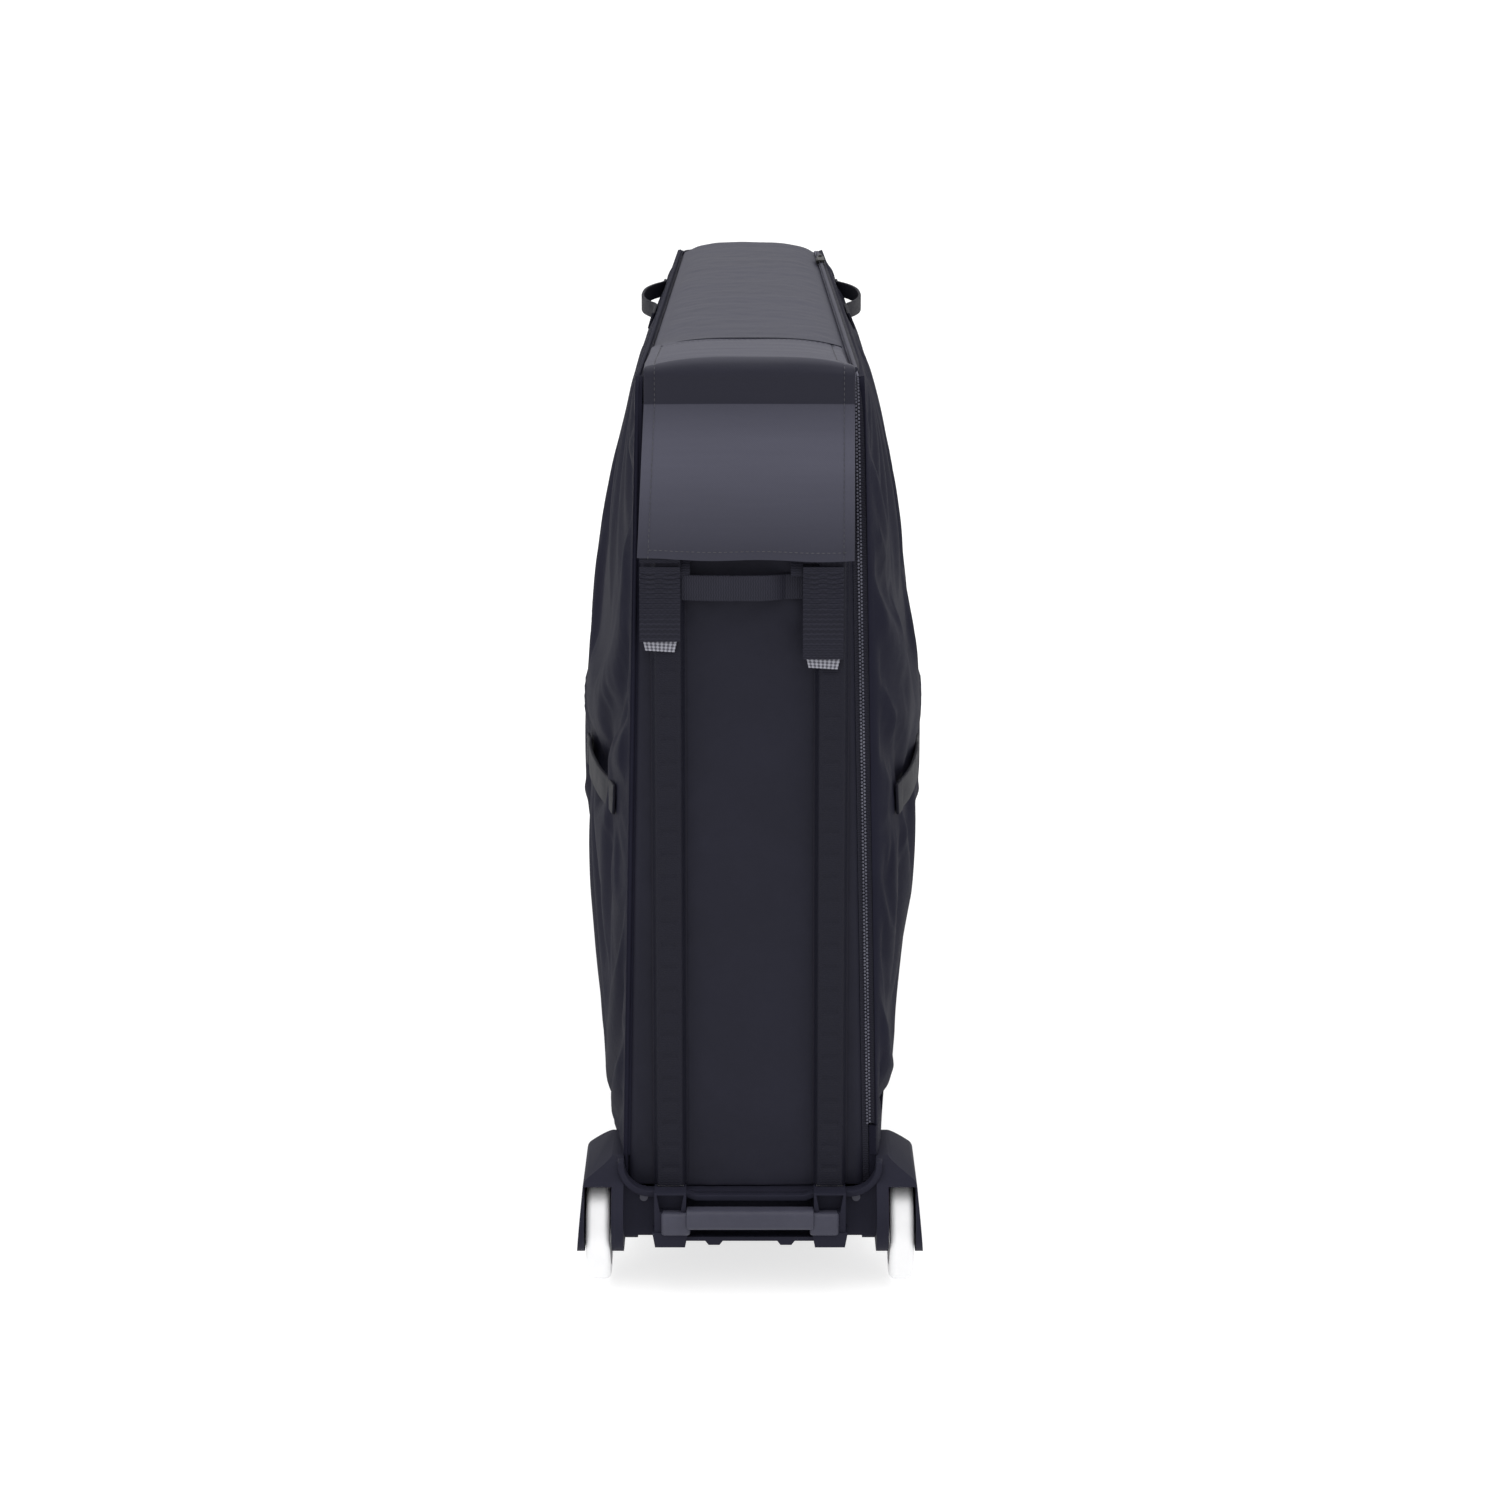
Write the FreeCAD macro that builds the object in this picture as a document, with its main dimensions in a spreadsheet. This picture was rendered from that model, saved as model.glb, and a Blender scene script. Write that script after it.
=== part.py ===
import FreeCAD, Part
import math
import os
import re
import Sketcher
from FreeCAD import Placement, Rotation, Vector

os.makedirs("parts", exist_ok=True)
doc = FreeCAD.newDocument("bike_travel_case")

# X runs across the case, Y along it with the wheels at minus Y, Z up.
# The origin is on the floor below the middle of the case.
# Sizes are in millimetres.
dimensions = [
    ("case_length", 1400, "wheel fenders to front bumper"),
    ("case_height", 850, "floor to the crown of the top panel"),
    ("tray_width", 244, "outside of the base tray"),
    ("tray_wall", 4, "tray floor and walls"),
    ("tray_bottom", 50, "floor to the tray underside"),
    ("rim_height", 100, "floor to the tray rim"),
    ("chassis_reach", 155, "length of the rear chassis"),
    ("chassis_wall", 6, "moulded wall of the chassis"),
    ("wall_inset", 28, "fender rear edge to the chassis rear wall"),
    ("shoulder_height", 122, "top of the chassis beside the bag"),
    ("wheel_diameter", 96, "wheel over the tread"),
    ("wheel_inset", 6, "fender rear edge to the tread"),
    ("wheel_track", 279, "between the wheel middles"),
    ("tyre_width", 22, "tread width"),
    ("tyre_depth", 13, "tread to the hub"),
    ("axle_diameter", 8, "wheel bolt"),
    ("bearing_diameter", 22, "ball bearing outside"),
    ("bearing_width", 7, "ball bearing along the axle"),
    ("running_gap", 0.05, "radial play of a bearing on its bolt"),
    ("side_room", 1.5, "tyre to the fender walls"),
    ("fender_room", 4, "tread to the fender roof"),
    ("fender_plate", 7, "outer fender wall at its foot"),
    ("fender_drop", 36, "floor to the fender's lower edge"),
    ("top_crown", 8.6, "swell of the top panel"),
    ("panel_thickness", 12, "padded end and top panels"),
    ("rear_foot_width", 208, "rear panel at the rim"),
    ("rear_top_width", 176, "rear panel at the top edge"),
    ("front_top_width", 144, "top panel where the front rounds off"),
    ("rear_lean", 37, "how far the rear panel leans in at the top"),
    ("corner_radius", 25, "rear top corner"),
    ("front_radius", 250, "front top corner"),
    ("bumper_depth", 20, "tray front to the front panel"),
    ("strip_width", 12, "zip or welt beside the end panels"),
    ("side_thickness", 8, "padded side panels"),
    ("bulge_depth", 52, "how far the side panels swell"),
    ("bulge_height", 450, "where they swell most"),
    ("bulge_reach", 400, "rear end to where they swell most"),
    ("cloth_gap", 0.4, "between sewn pieces"),
    ("notch_height", 152, "lower end of the zip"),
    ("sleeve_spacing", 146, "between the batten sleeves"),
    ("sleeve_width", 32, "outside of a sleeve"),
    ("sleeve_depth", 10, "sleeve off the rear panel"),
    ("sleeve_wall", 1.8, "webbing of a sleeve"),
    ("batten_width", 24, "stiffening batten"),
    ("batten_thickness", 5, "stiffening batten"),
    ("flap_drop", 161, "top side edges to the guard's lower edge"),
    ("flap_reach", 240, "rear plane to the guard's top seam"),
    ("flap_thickness", 3, "coated guard cloth"),
    ("flap_lift", 16, "guard's lower edge off the rear panel"),
    ("tab_width", 36, "closing tab"),
    ("left_tab_across", 80, "middle of the case to the left tab"),
    ("right_tab_across", 65, "middle of the case to the right tab"),
    ("tab_thickness", 2.5, "closing tab webbing"),
    ("left_tab_length", 52, "woven part below its fold"),
    ("right_tab_length", 62, "woven part below its fold"),
    ("tip_length", 22, "bound end of a tab"),
    ("webbing_width", 25, "carry handle webbing"),
    ("webbing_thickness", 3, "carry handle webbing"),
    ("finger_room", 16, "clear space behind a top handle"),
    ("strap_room", 13, "clear space behind the rear and front handles"),
    ("side_handle_room", 6, "side handle off the padding, which gives way to a hand"),
    ("top_handle_span", 310, "between the ends of a top handle"),
    ("top_handle_reach", 750, "rear end to the middle of the top handles"),
    ("top_handle_drop", 16, "top side edges to the middle of the top handles"),
    ("side_handle_span", 200, "between the ends of a side handle"),
    ("side_handle_reach", 200, "rear end to the middle of the side handles"),
    ("side_handle_height", 437, "middle of the side handles"),
    ("side_handle_width", 36, "padded side handle"),
    ("rear_handle_drop", 22, "guard's lower edge to the middle of the rear handle"),
    ("front_handle_height", 430, "middle of the front handle"),
    ("front_handle_span", 170, "between the ends of the front handle"),
    ("grip_width", 117, "between the socket blocks"),
    ("grip_thickness", 19, "moulded grip bar"),
    ("cord_radius", 3.2, "hem cord of the side door"),
    ("cord_play", 0.4, "hem cord in its rail"),
    ("divider_thickness", 4, "wheel pocket walls"),
    ("board_thickness", 6, "floor board"),
    ("slider_setback", 120, "front corner to the closed place of the zip slider"),
    ("panel_crown", 3, "swell of the end panels"),
    ("socket_depth", 18, "socket blocks behind the chassis wall"),
    ("recess_depth", 20, "grip recess in front of the chassis wall"),
    ("skid_inset", 25, "middle of the case to a skid"),
    ("skid_width", 16, "skids under the base"),
    ("skid_depth", 5, "skids under the base"),
]
names = set()
sheet = doc.addObject("Spreadsheet::Sheet", "sizes")
for row, (alias, amount, note) in enumerate(dimensions, start=1):
    sheet.set("A%d" % row, alias)
    sheet.set("B%d" % row, str(amount))
    sheet.set("C%d" % row, note)
    sheet.setAlias("B%d" % row, alias)
    names.add(alias)
doc.recompute()

pieces = []


def link(expression):
    # Points every dimension named in an expression at its sheet cell.
    def cell(match):
        word = match.group(0)
        return "sizes." + word if word in names else word

    return re.sub(r"[a-z_]+", cell, expression)


def value(expression):
    return float(sheet.evalExpression(expression))


def negate(expression):
    return "-(%s)" % expression


def keep(piece):
    pieces.append(piece)
    return piece


def new_body(label):
    body = doc.addObject("PartDesign::Body", label)
    body.Label = label
    return keep(body)


def place(piece, across="0", along="0", up="0"):
    piece.setExpression("Placement.Base.x", link(across))
    piece.setExpression("Placement.Base.y", link(along))
    piece.setExpression("Placement.Base.z", link(up))
    return piece


def new_sketch(body, role, offset):
    sketch = body.newObject("Sketcher::SketchObject", body.Label + "_sketch")
    plane = next(face for face in body.Origin.OriginFeatures if face.Role == role)
    sketch.AttachmentSupport = [(plane, "")]
    sketch.MapMode = "FlatFace"
    sketch.setExpression("AttachmentOffset.Base.z", link(offset))
    return sketch


def fix(sketch, kind, geometry, position, expression):
    number = sketch.addConstraint(
        Sketcher.Constraint(kind, -1, 1, geometry, position, value(expression))
    )
    sketch.setExpression("Constraints[%d]" % number, link(expression))


def draw_outline(sketch, corners):
    # A corner is (across, up) or (across, up, radius); every entry is an expression.
    spots = [Vector(value(corner[0]), value(corner[1]), 0) for corner in corners]
    count = len(spots)
    leave = []
    arrive = []
    rounds = []
    for i in range(count):
        back = (spots[i - 1] - spots[i]).normalize()
        ahead = (spots[(i + 1) % count] - spots[i]).normalize()
        if len(corners[i]) == 2:
            arrive.append(spots[i])
            leave.append(spots[i])
            rounds.append(None)
            continue
        radius = value(corners[i][2])
        half_angle = back.getAngle(ahead) / 2
        reach = radius / math.tan(half_angle)
        middle = (back + ahead).normalize()
        arrive.append(spots[i] + back * reach)
        leave.append(spots[i] + ahead * reach)
        rounds.append(spots[i] + middle * (radius / math.sin(half_angle) - radius))
    lines = []
    for i in range(count):
        segment = Part.LineSegment(leave[i], arrive[(i + 1) % count])
        lines.append(sketch.addGeometry(segment, False))
    for i in range(count):
        before = lines[i - 1]
        after = lines[i]
        if rounds[i] is None:
            sketch.addConstraint(Sketcher.Constraint("Coincident", before, 2, after, 1))
            fix(sketch, "DistanceX", after, 1, corners[i][0])
            fix(sketch, "DistanceY", after, 1, corners[i][1])
            continue
        arc = sketch.addGeometry(Part.Arc(arrive[i], rounds[i], leave[i]), False)
        point = sketch.addGeometry(Part.Point(spots[i]), True)
        begins_first = (sketch.getPoint(arc, 1) - arrive[i]).Length < 0.001
        first = 1 if begins_first else 2
        sketch.addConstraint(Sketcher.Constraint("Tangent", before, 2, arc, first))
        sketch.addConstraint(Sketcher.Constraint("Tangent", after, 1, arc, 3 - first))
        sketch.addConstraint(Sketcher.Constraint("PointOnObject", point, 1, before))
        sketch.addConstraint(Sketcher.Constraint("PointOnObject", point, 1, after))
        fix(sketch, "DistanceX", point, 1, corners[i][0])
        fix(sketch, "DistanceY", point, 1, corners[i][1])
        radius = sketch.addConstraint(
            Sketcher.Constraint("Radius", arc, value(corners[i][2]))
        )
        sketch.setExpression("Constraints[%d]" % radius, link(corners[i][2]))


def draw_circle(sketch, across, up, radius):
    middle = Vector(value(across), value(up), 0)
    circle = sketch.addGeometry(Part.Circle(middle, Vector(0, 0, 1), value(radius)), False)
    fix(sketch, "DistanceX", circle, 3, across)
    fix(sketch, "DistanceY", circle, 3, up)
    number = sketch.addConstraint(Sketcher.Constraint("Radius", circle, value(radius)))
    sketch.setExpression("Constraints[%d]" % number, link(radius))


def shape_between(body, role, start, end, outlines, kind):
    # Pads or pockets outlines between two positions along the plane's axis.
    faces_back = role == "XZ_Plane"
    sketch = new_sketch(body, role, negate(start) if faces_back else start)
    for outline in outlines:
        if isinstance(outline, tuple):
            draw_circle(sketch, *outline)
        else:
            draw_outline(sketch, outline)
    feature = body.newObject("PartDesign::" + kind, body.Label + "_" + kind.lower())
    feature.Profile = sketch
    feature.setExpression("Length", link("(%s) - (%s)" % (end, start)))
    feature.Reversed = faces_back if kind == "Pad" else not faces_back
    body.Tip = feature
    sketch.Visibility = False
    return feature


def add(body, role, start, end, *outlines):
    return shape_between(body, role, start, end, outlines, "Pad")


def cut(body, role, start, end, *outlines):
    return shape_between(body, role, start, end, outlines, "Pocket")


def mirrored(outline):
    # The same outline on the other side of the middle plane.
    if isinstance(outline, tuple):
        return (negate(outline[0]),) + outline[1:]
    return [(negate(corner[0]),) + tuple(corner[1:]) for corner in reversed(outline)]


def rectangle(left, right, low, high):
    return [(left, low), (right, low), (right, high), (left, high)]


def turn(body, outline):
    # Revolves an outline of (along axis, radius) corners about the X axis.
    sketch = new_sketch(body, "XY_Plane", "0")
    draw_outline(sketch, outline)
    feature = body.newObject("PartDesign::Revolution", body.Label + "_turned")
    feature.Profile = sketch
    feature.ReferenceAxis = (sketch, ["H_Axis"])
    feature.Angle = 360
    body.Tip = feature
    return feature


def make_box(label, left, right, rear, front, low, high):
    box = doc.addObject("Part::Box", label)
    box.Label = label
    box.setExpression("Length", link("(%s) - (%s)" % (right, left)))
    box.setExpression("Width", link("(%s) - (%s)" % (front, rear)))
    box.setExpression("Height", link("(%s) - (%s)" % (high, low)))
    return place(box, left, rear, low)


def join(kind, label, *sources):
    piece = doc.addObject("Part::" + kind, label)
    piece.Label = label
    if kind == "Cut":
        piece.Base, piece.Tool = sources
    elif kind == "Compound":
        piece.Links = list(sources)
    else:
        piece.Shapes = list(sources)
    return piece


def flip(label, source):
    copy = doc.addObject("Part::Mirroring", label)
    copy.Label = label
    copy.Source = source
    copy.Normal = (1, 0, 0)
    return copy


def form(label, shape):
    # A sewn piece whose curved shape is lofted by code.
    piece = doc.addObject("Part::Feature", label)
    piece.Label = label
    piece.Shape = shape
    piece.Placement = Placement()
    return keep(piece)


# Positions used by several pieces.
rear = "(-case_length/2)"
front = "(case_length/2)"
axle_along = "(wheel_inset + wheel_diameter/2 - case_length/2)"
axle_up = "(wheel_diameter/2)"
chassis_front = "(chassis_reach - case_length/2)"
wall_rear = "(wall_inset - case_length/2)"
wall_front = "(wall_inset + chassis_wall - case_length/2)"
tray_half = "(tray_width/2)"
tub_half = "(tray_width/2 - chassis_wall)"
slot_in = "(wheel_track/2 - tyre_width/2 - side_room)"
slot_out = "(wheel_track/2 + tyre_width/2 + side_room)"
fender_out = slot_out[:-1] + " + fender_plate)"
roof_up = "(wheel_diameter + fender_room)"
floor_top = "(tray_bottom + tray_wall)"
rim_low = "(rim_height - chassis_wall)"
socket_in = "(grip_width/2)"
socket_out = "(sleeve_spacing - grip_width/2)"
socket_rear = "(wall_inset - socket_depth - case_length/2)"
grip_up = "(tray_bottom + 23)"
panel_foot = "(wall_inset + chassis_wall + 7 - case_length/2)"
front_face = "(case_length/2 - bumper_depth)"
edge_up = "(case_height - flap_thickness - cloth_gap - top_crown)"
flap_low = "(case_height - flap_thickness - cloth_gap - top_crown - flap_drop)"
skid_out = "(skid_inset + skid_width)"
sleeve_front = panel_foot + " - panel_crown - cloth_gap"
batten_middle = sleeve_front + " - sleeve_depth/2"
rivet_across = socket_out + " + 10"
rivet_up = rim_low + " - 6"
grip_along = wall_rear + " - 16"

# Rear chassis: one moulding with the tub, wheel fenders, batten sockets, grip recess,
# rear feet, axle bosses and the tongue that is screwed to the tray.
chassis = new_body("rear_chassis")
add(chassis, "XZ_Plane", wall_rear, wall_front, [
    (negate(tray_half), "tray_bottom"),
    (tray_half, "tray_bottom"),
    (tray_half, "shoulder_height"),
    (tub_half, "shoulder_height"),
    (tub_half, rim_low, "25"),
    (negate(tub_half), rim_low, "25"),
    (negate(tub_half), "shoulder_height"),
    (negate(tray_half), "shoulder_height"),
])
add(chassis, "XZ_Plane", wall_front, chassis_front, [
    (negate(tray_half), "tray_bottom"),
    (tray_half, "tray_bottom"),
    (tray_half, "shoulder_height"),
    (tub_half, "shoulder_height"),
    (tub_half, floor_top),
    (negate(tub_half), floor_top),
    (negate(tub_half), "shoulder_height"),
    (negate(tray_half), "shoulder_height"),
])
fender_side = [
    (rear, "fender_drop", "30"),
    (axle_along + " + wheel_diameter/2 + 10", "fender_drop", "14"),
    (axle_along + " + wheel_diameter/2 + 26", "shoulder_height", "16"),
    (axle_along + " - 16", "shoulder_height", "20"),
    (rear, axle_up + " + 27", "24"),
]
add(chassis, "YZ_Plane", tub_half, fender_out, fender_side)
add(chassis, "YZ_Plane", negate(fender_out), negate(tub_half), fender_side)
roof_slope = [
    (slot_in, "shoulder_height"),
    (slot_out + " + 1", roof_up + " + 4", "9"),
    (fender_out, "fender_drop + 3"),
    (fender_out + " + 9", "fender_drop + 3"),
    (fender_out + " + 9", "shoulder_height + 9"),
    (slot_in, "shoulder_height + 9"),
]
cut(chassis, "XZ_Plane", rear + " - 9", chassis_front + " + 9", roof_slope, mirrored(roof_slope))
wheel_slot = [
    (rear + " - 9", "fender_drop - 9"),
    (axle_along + " + wheel_diameter/2 + fender_room", "fender_drop - 9"),
    (axle_along + " + wheel_diameter/2 + fender_room", roof_up, "wheel_diameter/2 - 8"),
    (rear + " - 9", roof_up),
]
cut(chassis, "YZ_Plane", slot_in, slot_out, wheel_slot)
cut(chassis, "YZ_Plane", negate(slot_out), negate(slot_in), wheel_slot)
rim_fall = [
    (chassis_front + " - 34", "shoulder_height"),
    (chassis_front + " + 1", "rim_height"),
    (chassis_front + " + 1", "shoulder_height + 9"),
    (chassis_front + " - 34", "shoulder_height + 9"),
]
cut(chassis, "YZ_Plane", "-tray_width", "tray_width", rim_fall)
socket = [
    (socket_in, "tray_bottom"),
    (socket_out, "tray_bottom"),
    (socket_out, "rim_height - 2"),
    (socket_in, "rim_height - 2"),
]
add(chassis, "XZ_Plane", socket_rear, wall_front, socket, mirrored(socket))
socket_back = rectangle(socket_in, socket_out, "tray_bottom", rim_low)
add(chassis, "XZ_Plane", wall_front, wall_front + " + 12", socket_back, mirrored(socket_back))
foot = [
    (socket_in + " - 1.5", "tray_bottom + 10"),
    (socket_in + " + 1", "tray_bottom - 4"),
    (socket_out + " - 0.5", "tray_bottom - 4"),
    (socket_out + " + 2", "tray_bottom + 10"),
]
add(chassis, "XZ_Plane", socket_rear + " - 2", wall_front + " + 10", foot, mirrored(foot))
add(chassis, "XZ_Plane", wall_rear + " - 14", wall_front,
    rectangle(negate(socket_in), socket_in, "tray_bottom", floor_top))
chassis_skid = [
    (skid_out + " - 3", "tray_bottom - skid_depth + 1"),
    (skid_out, "tray_bottom"),
    ("skid_inset", "tray_bottom"),
    ("skid_inset + 3", "tray_bottom - skid_depth + 1"),
]
add(chassis, "XZ_Plane", wall_rear + " - 14", chassis_front, chassis_skid, mirrored(chassis_skid))
add(chassis, "XZ_Plane", wall_front, wall_front + " + recess_depth + 4",
    rectangle(negate(socket_in), socket_in, "tray_bottom", rim_low))
recess = [
    (negate(socket_in), floor_top),
    (socket_in, floor_top),
    (socket_in, rim_low + " - 4"),
    (negate(socket_in), rim_low + " - 4"),
]
cut(chassis, "XZ_Plane", wall_rear, wall_front + " + recess_depth", recess)
window = [
    (socket_in + " + 5", "rim_height - 21"),
    (socket_out + " - 5", "rim_height - 21"),
    (socket_out + " - 2", "rim_height - 4"),
    (socket_in + " + 2", "rim_height - 4"),
]
cut(chassis, "XZ_Plane", socket_rear, socket_rear + " + 11", window, mirrored(window))
batten_slot = rectangle(
    "sleeve_spacing/2 - batten_width/2 - cloth_gap",
    "sleeve_spacing/2 + batten_width/2 + cloth_gap",
    batten_middle + " - batten_thickness/2 - 2.2",
    batten_middle + " + batten_thickness/2 + 0.6",
)
cut(chassis, "XY_Plane", "rim_height - 20", "rim_height", batten_slot, mirrored(batten_slot))
boss = (axle_along, axle_up, "axle_diameter/2 + 6")
bolt_hole = (axle_along, axle_up, "axle_diameter/2 + 0.1")
head_seat = (axle_along, axle_up, "axle_diameter/2 + 4.5")
add(chassis, "YZ_Plane", tub_half + " - 12", slot_in, boss)
add(chassis, "YZ_Plane", negate(slot_in), negate(tub_half + " - 12"), boss)
cut(chassis, "YZ_Plane", tub_half + " - 9", fender_out + " + 1", bolt_hole)
cut(chassis, "YZ_Plane", negate(fender_out + " + 1"), negate(tub_half + " - 9"), bolt_hole)
cut(chassis, "YZ_Plane", slot_out + " + 3", fender_out + " + 1", head_seat)
cut(chassis, "YZ_Plane", negate(fender_out + " + 1"), negate(slot_out + " + 3"), head_seat)
grip_hole = (grip_along, grip_up, "grip_thickness/4 + 0.2")
cut(chassis, "YZ_Plane", negate(socket_in + " + 9"), socket_in + " + 9", grip_hole)
rivet_hole = (rivet_across, rivet_up, "2.6")
cut(chassis, "XZ_Plane", wall_rear, wall_front, rivet_hole, mirrored(rivet_hole))
add(chassis, "XY_Plane", floor_top, floor_top + " + 5",
    rectangle(negate(tub_half + " - 6"), tub_half + " - 6",
              chassis_front + " - 20", chassis_front + " + 30"))
screw_spots = [
    (across, chassis_front + " + 15", "2.1")
    for across in ("tray_width/8", "tray_width/3", "-tray_width/8", "-tray_width/3")
]
cut(chassis, "XY_Plane", floor_top + " - 1", floor_top + " + 5", *screw_spots)

# Grip bar with a spigot at each end that sits in the socket blocks.
grip = new_body("rear_grip_bar")
half_grip = "grip_thickness/2"
add(grip, "YZ_Plane", negate(socket_in + " - 0.3"), socket_in + " - 0.3", [
    (grip_along + " - " + half_grip, grip_up + " - " + half_grip, "6"),
    (grip_along + " + " + half_grip, grip_up + " - " + half_grip, "6"),
    (grip_along + " + " + half_grip, grip_up + " + " + half_grip, "6"),
    (grip_along + " - " + half_grip, grip_up + " + " + half_grip, "6"),
])
add(grip, "YZ_Plane", negate(socket_in + " + 8"), socket_in + " + 8",
    (grip_along, grip_up, "grip_thickness/4"))


def stud(label, head_radius, head_height, shank_radius, shank_length):
    # A round-headed fastener along Z with the underside of its head at zero.
    body = doc.addObject("PartDesign::Body", label)
    body.Label = label
    sketch = new_sketch(body, "XZ_Plane", "0")
    draw_outline(sketch, [
        ("0", negate(shank_length)),
        (shank_radius, negate(shank_length)),
        (shank_radius, "0"),
        (head_radius, "0"),
        (head_radius, head_height),
        ("0", head_height),
    ])
    feature = body.newObject("PartDesign::Revolution", label + "_turned")
    feature.Profile = sketch
    feature.ReferenceAxis = (sketch, ["V_Axis"])
    feature.Angle = 360
    body.Tip = feature
    return body


rivet = stud("rivet", "3.8", "2", "2.5", "chassis_wall + panel_thickness + 8")
rivet.Placement = Placement(Vector(), Rotation(Vector(1, 0, 0), 90))
place(rivet, rivet_across, wall_rear, rivet_up)
keep(join("Compound", "chassis_rivets", rivet, flip("left_rivet", rivet)))

chassis_screws = []
for number, (across, along, radius) in enumerate(screw_spots):
    screw = stud("chassis_screw_%d" % number, "4", "2.5", "2", "tray_wall + 5")
    screw.Placement = Placement(Vector(), Rotation(Vector(1, 0, 0), 180))
    place(screw, across, along, "tray_bottom")
    chassis_screws.append(screw)
keep(join("Compound", "chassis_screws", *chassis_screws))

# Wheels: white tread on a spoked hub, two ball bearings, a bolt and two spacers each.
hub_radius = "(wheel_diameter/2 - tyre_depth)"
bolts = []
spacers = []
for side, sign in (("left", "-"), ("right", "")):
    across = sign + "wheel_track/2"
    tyre = new_body(side + "_tyre")
    turn(tyre, [
        ("-tyre_width/2", hub_radius),
        ("tyre_width/2", hub_radius),
        ("tyre_width/2", "wheel_diameter/2", "6"),
        ("-tyre_width/2", "wheel_diameter/2", "6"),
    ])
    place(tyre, across, axle_along, axle_up)

    hub = new_body(side + "_hub")
    web = "(tyre_width/2 - 6)"
    face = "(tyre_width/2 - 1)"
    seat = "(bearing_diameter/2)"
    turn(hub, [
        ("-" + face, seat),
        (negate(face + " - bearing_width"), seat),
        (negate(face + " - bearing_width"), "axle_diameter/2 + 2"),
        (face + " - bearing_width", "axle_diameter/2 + 2"),
        (face + " - bearing_width", seat),
        (face, seat),
        (face, seat + " + 4"),
        (web, seat + " + 6"),
        (web, hub_radius + " - 5"),
        (face, hub_radius + " - 3"),
        (face, hub_radius),
        ("-" + face, hub_radius),
        ("-" + face, hub_radius + " - 3"),
        (negate(web), hub_radius + " - 5"),
        (negate(web), seat + " + 6"),
        ("-" + face, seat + " + 4"),
    ])
    doc.recompute()
    hole_sketch = new_sketch(hub, "YZ_Plane", negate(web + " + 1"))
    draw_circle(hole_sketch, "0", "(%s + %s)/2" % (hub_radius, seat), "3.5")
    holes = hub.newObject("PartDesign::Pocket", side + "_hub_hole")
    holes.Profile = hole_sketch
    holes.setExpression("Length", link("2*(%s + 1)" % web))
    holes.Reversed = True
    hub.Tip = holes
    around = hub.newObject("PartDesign::PolarPattern", side + "_hub_holes")
    around.Originals = [holes]
    around.Axis = (next(axis for axis in hub.Origin.OriginFeatures if axis.Role == "X_Axis"), [""])
    around.Angle = 360
    hub.Tip = around
    around.Occurrences = 6
    place(hub, across, axle_along, axle_up)

    pair = []
    for end in (-1, 1):
        bearing = doc.addObject("PartDesign::Body", side + "_bearing")
        inner = "axle_diameter/2 + running_gap"
        first = "%d*(%s) - bearing_width*%d" % (end, face, (end + 1) // 2)
        turn(bearing, [
            (first, inner),
            (first + " + bearing_width", inner),
            (first + " + bearing_width", "bearing_diameter/2"),
            (first, "bearing_diameter/2"),
        ])
        place(bearing, across, axle_along, axle_up)
        pair.append(bearing)
        spacer = doc.addObject("PartDesign::Body", side + "_spacer")
        start = "%d*%s + %d*0.15" % (end, face, end)
        finish = "%d*(%s + 1 + side_room) - %d*0.1" % (end, face, end)
        turn(spacer, [
            (start, "axle_diameter/2 + 0.1"),
            (finish, "axle_diameter/2 + 0.1"),
            (finish, "axle_diameter/2 + 2.5"),
            (start, "axle_diameter/2 + 2.5"),
        ])
        place(spacer, across, axle_along, axle_up)
        spacers.append(spacer)
    keep(join("Compound", side + "_bearings", *pair))

bolt = stud("bolt", "axle_diameter/2 + 3.5", "fender_plate - 4", "axle_diameter/2",
            "%s + 3 - (%s) + 8" % (slot_out, tub_half))
bolt.Placement = Placement(Vector(), Rotation(Vector(0, 1, 0), 90))
place(bolt, slot_out + " + 3", axle_along, axle_up)
keep(join("Compound", "wheel_bolts", bolt, flip("left_bolt", bolt)))
keep(join("Compound", "axle_spacers", *spacers))

# Base tray with cross ribs under the floor board and a solid front bumper.
tray = new_body("base_tray")
tray_inner = "(tray_width/2 - tray_wall)"
add(tray, "XY_Plane", "tray_bottom", "rim_height", [
    (negate(tray_half), chassis_front),
    (tray_half, chassis_front),
    (tray_half, front, "30"),
    (negate(tray_half), front, "30"),
])
cut(tray, "XY_Plane", floor_top, "rim_height", [
    (negate(tray_inner), chassis_front + " - 9"),
    (tray_inner, chassis_front + " - 9"),
    (tray_inner, front_face + " + 1", "14"),
    (negate(tray_inner), front_face + " + 1", "14"),
])
cut(tray, "YZ_Plane", "-tray_width", "tray_width", [
    (front + " - 16", "tray_bottom"),
    (front + " + 1", "tray_bottom + 18"),
    (front + " + 1", "tray_bottom - 1"),
    (front + " - 16", "tray_bottom - 1"),
])
for step in range(5):
    at = "(%s + 80 + %d*(case_length - chassis_reach - 200)/4)" % (chassis_front, step)
    add(tray, "XY_Plane", floor_top + " - 1", floor_top + " + 5.5",
        rectangle(negate(tray_inner), tray_inner, at, at + " + 6"))
cut(tray, "XY_Plane", "tray_bottom - 1", floor_top, *screw_spots)
foot_along = "(case_length/2 - 130)"
foot_across = "(tray_width/2 - 42)"
foot_spots = [
    (sign + foot_across, foot_along + shift, "2.1")
    for sign in ("", "-")
    for shift in (" - 20", " + 20")
]
cut(tray, "XY_Plane", "tray_bottom - 1", floor_top, *foot_spots)

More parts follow.
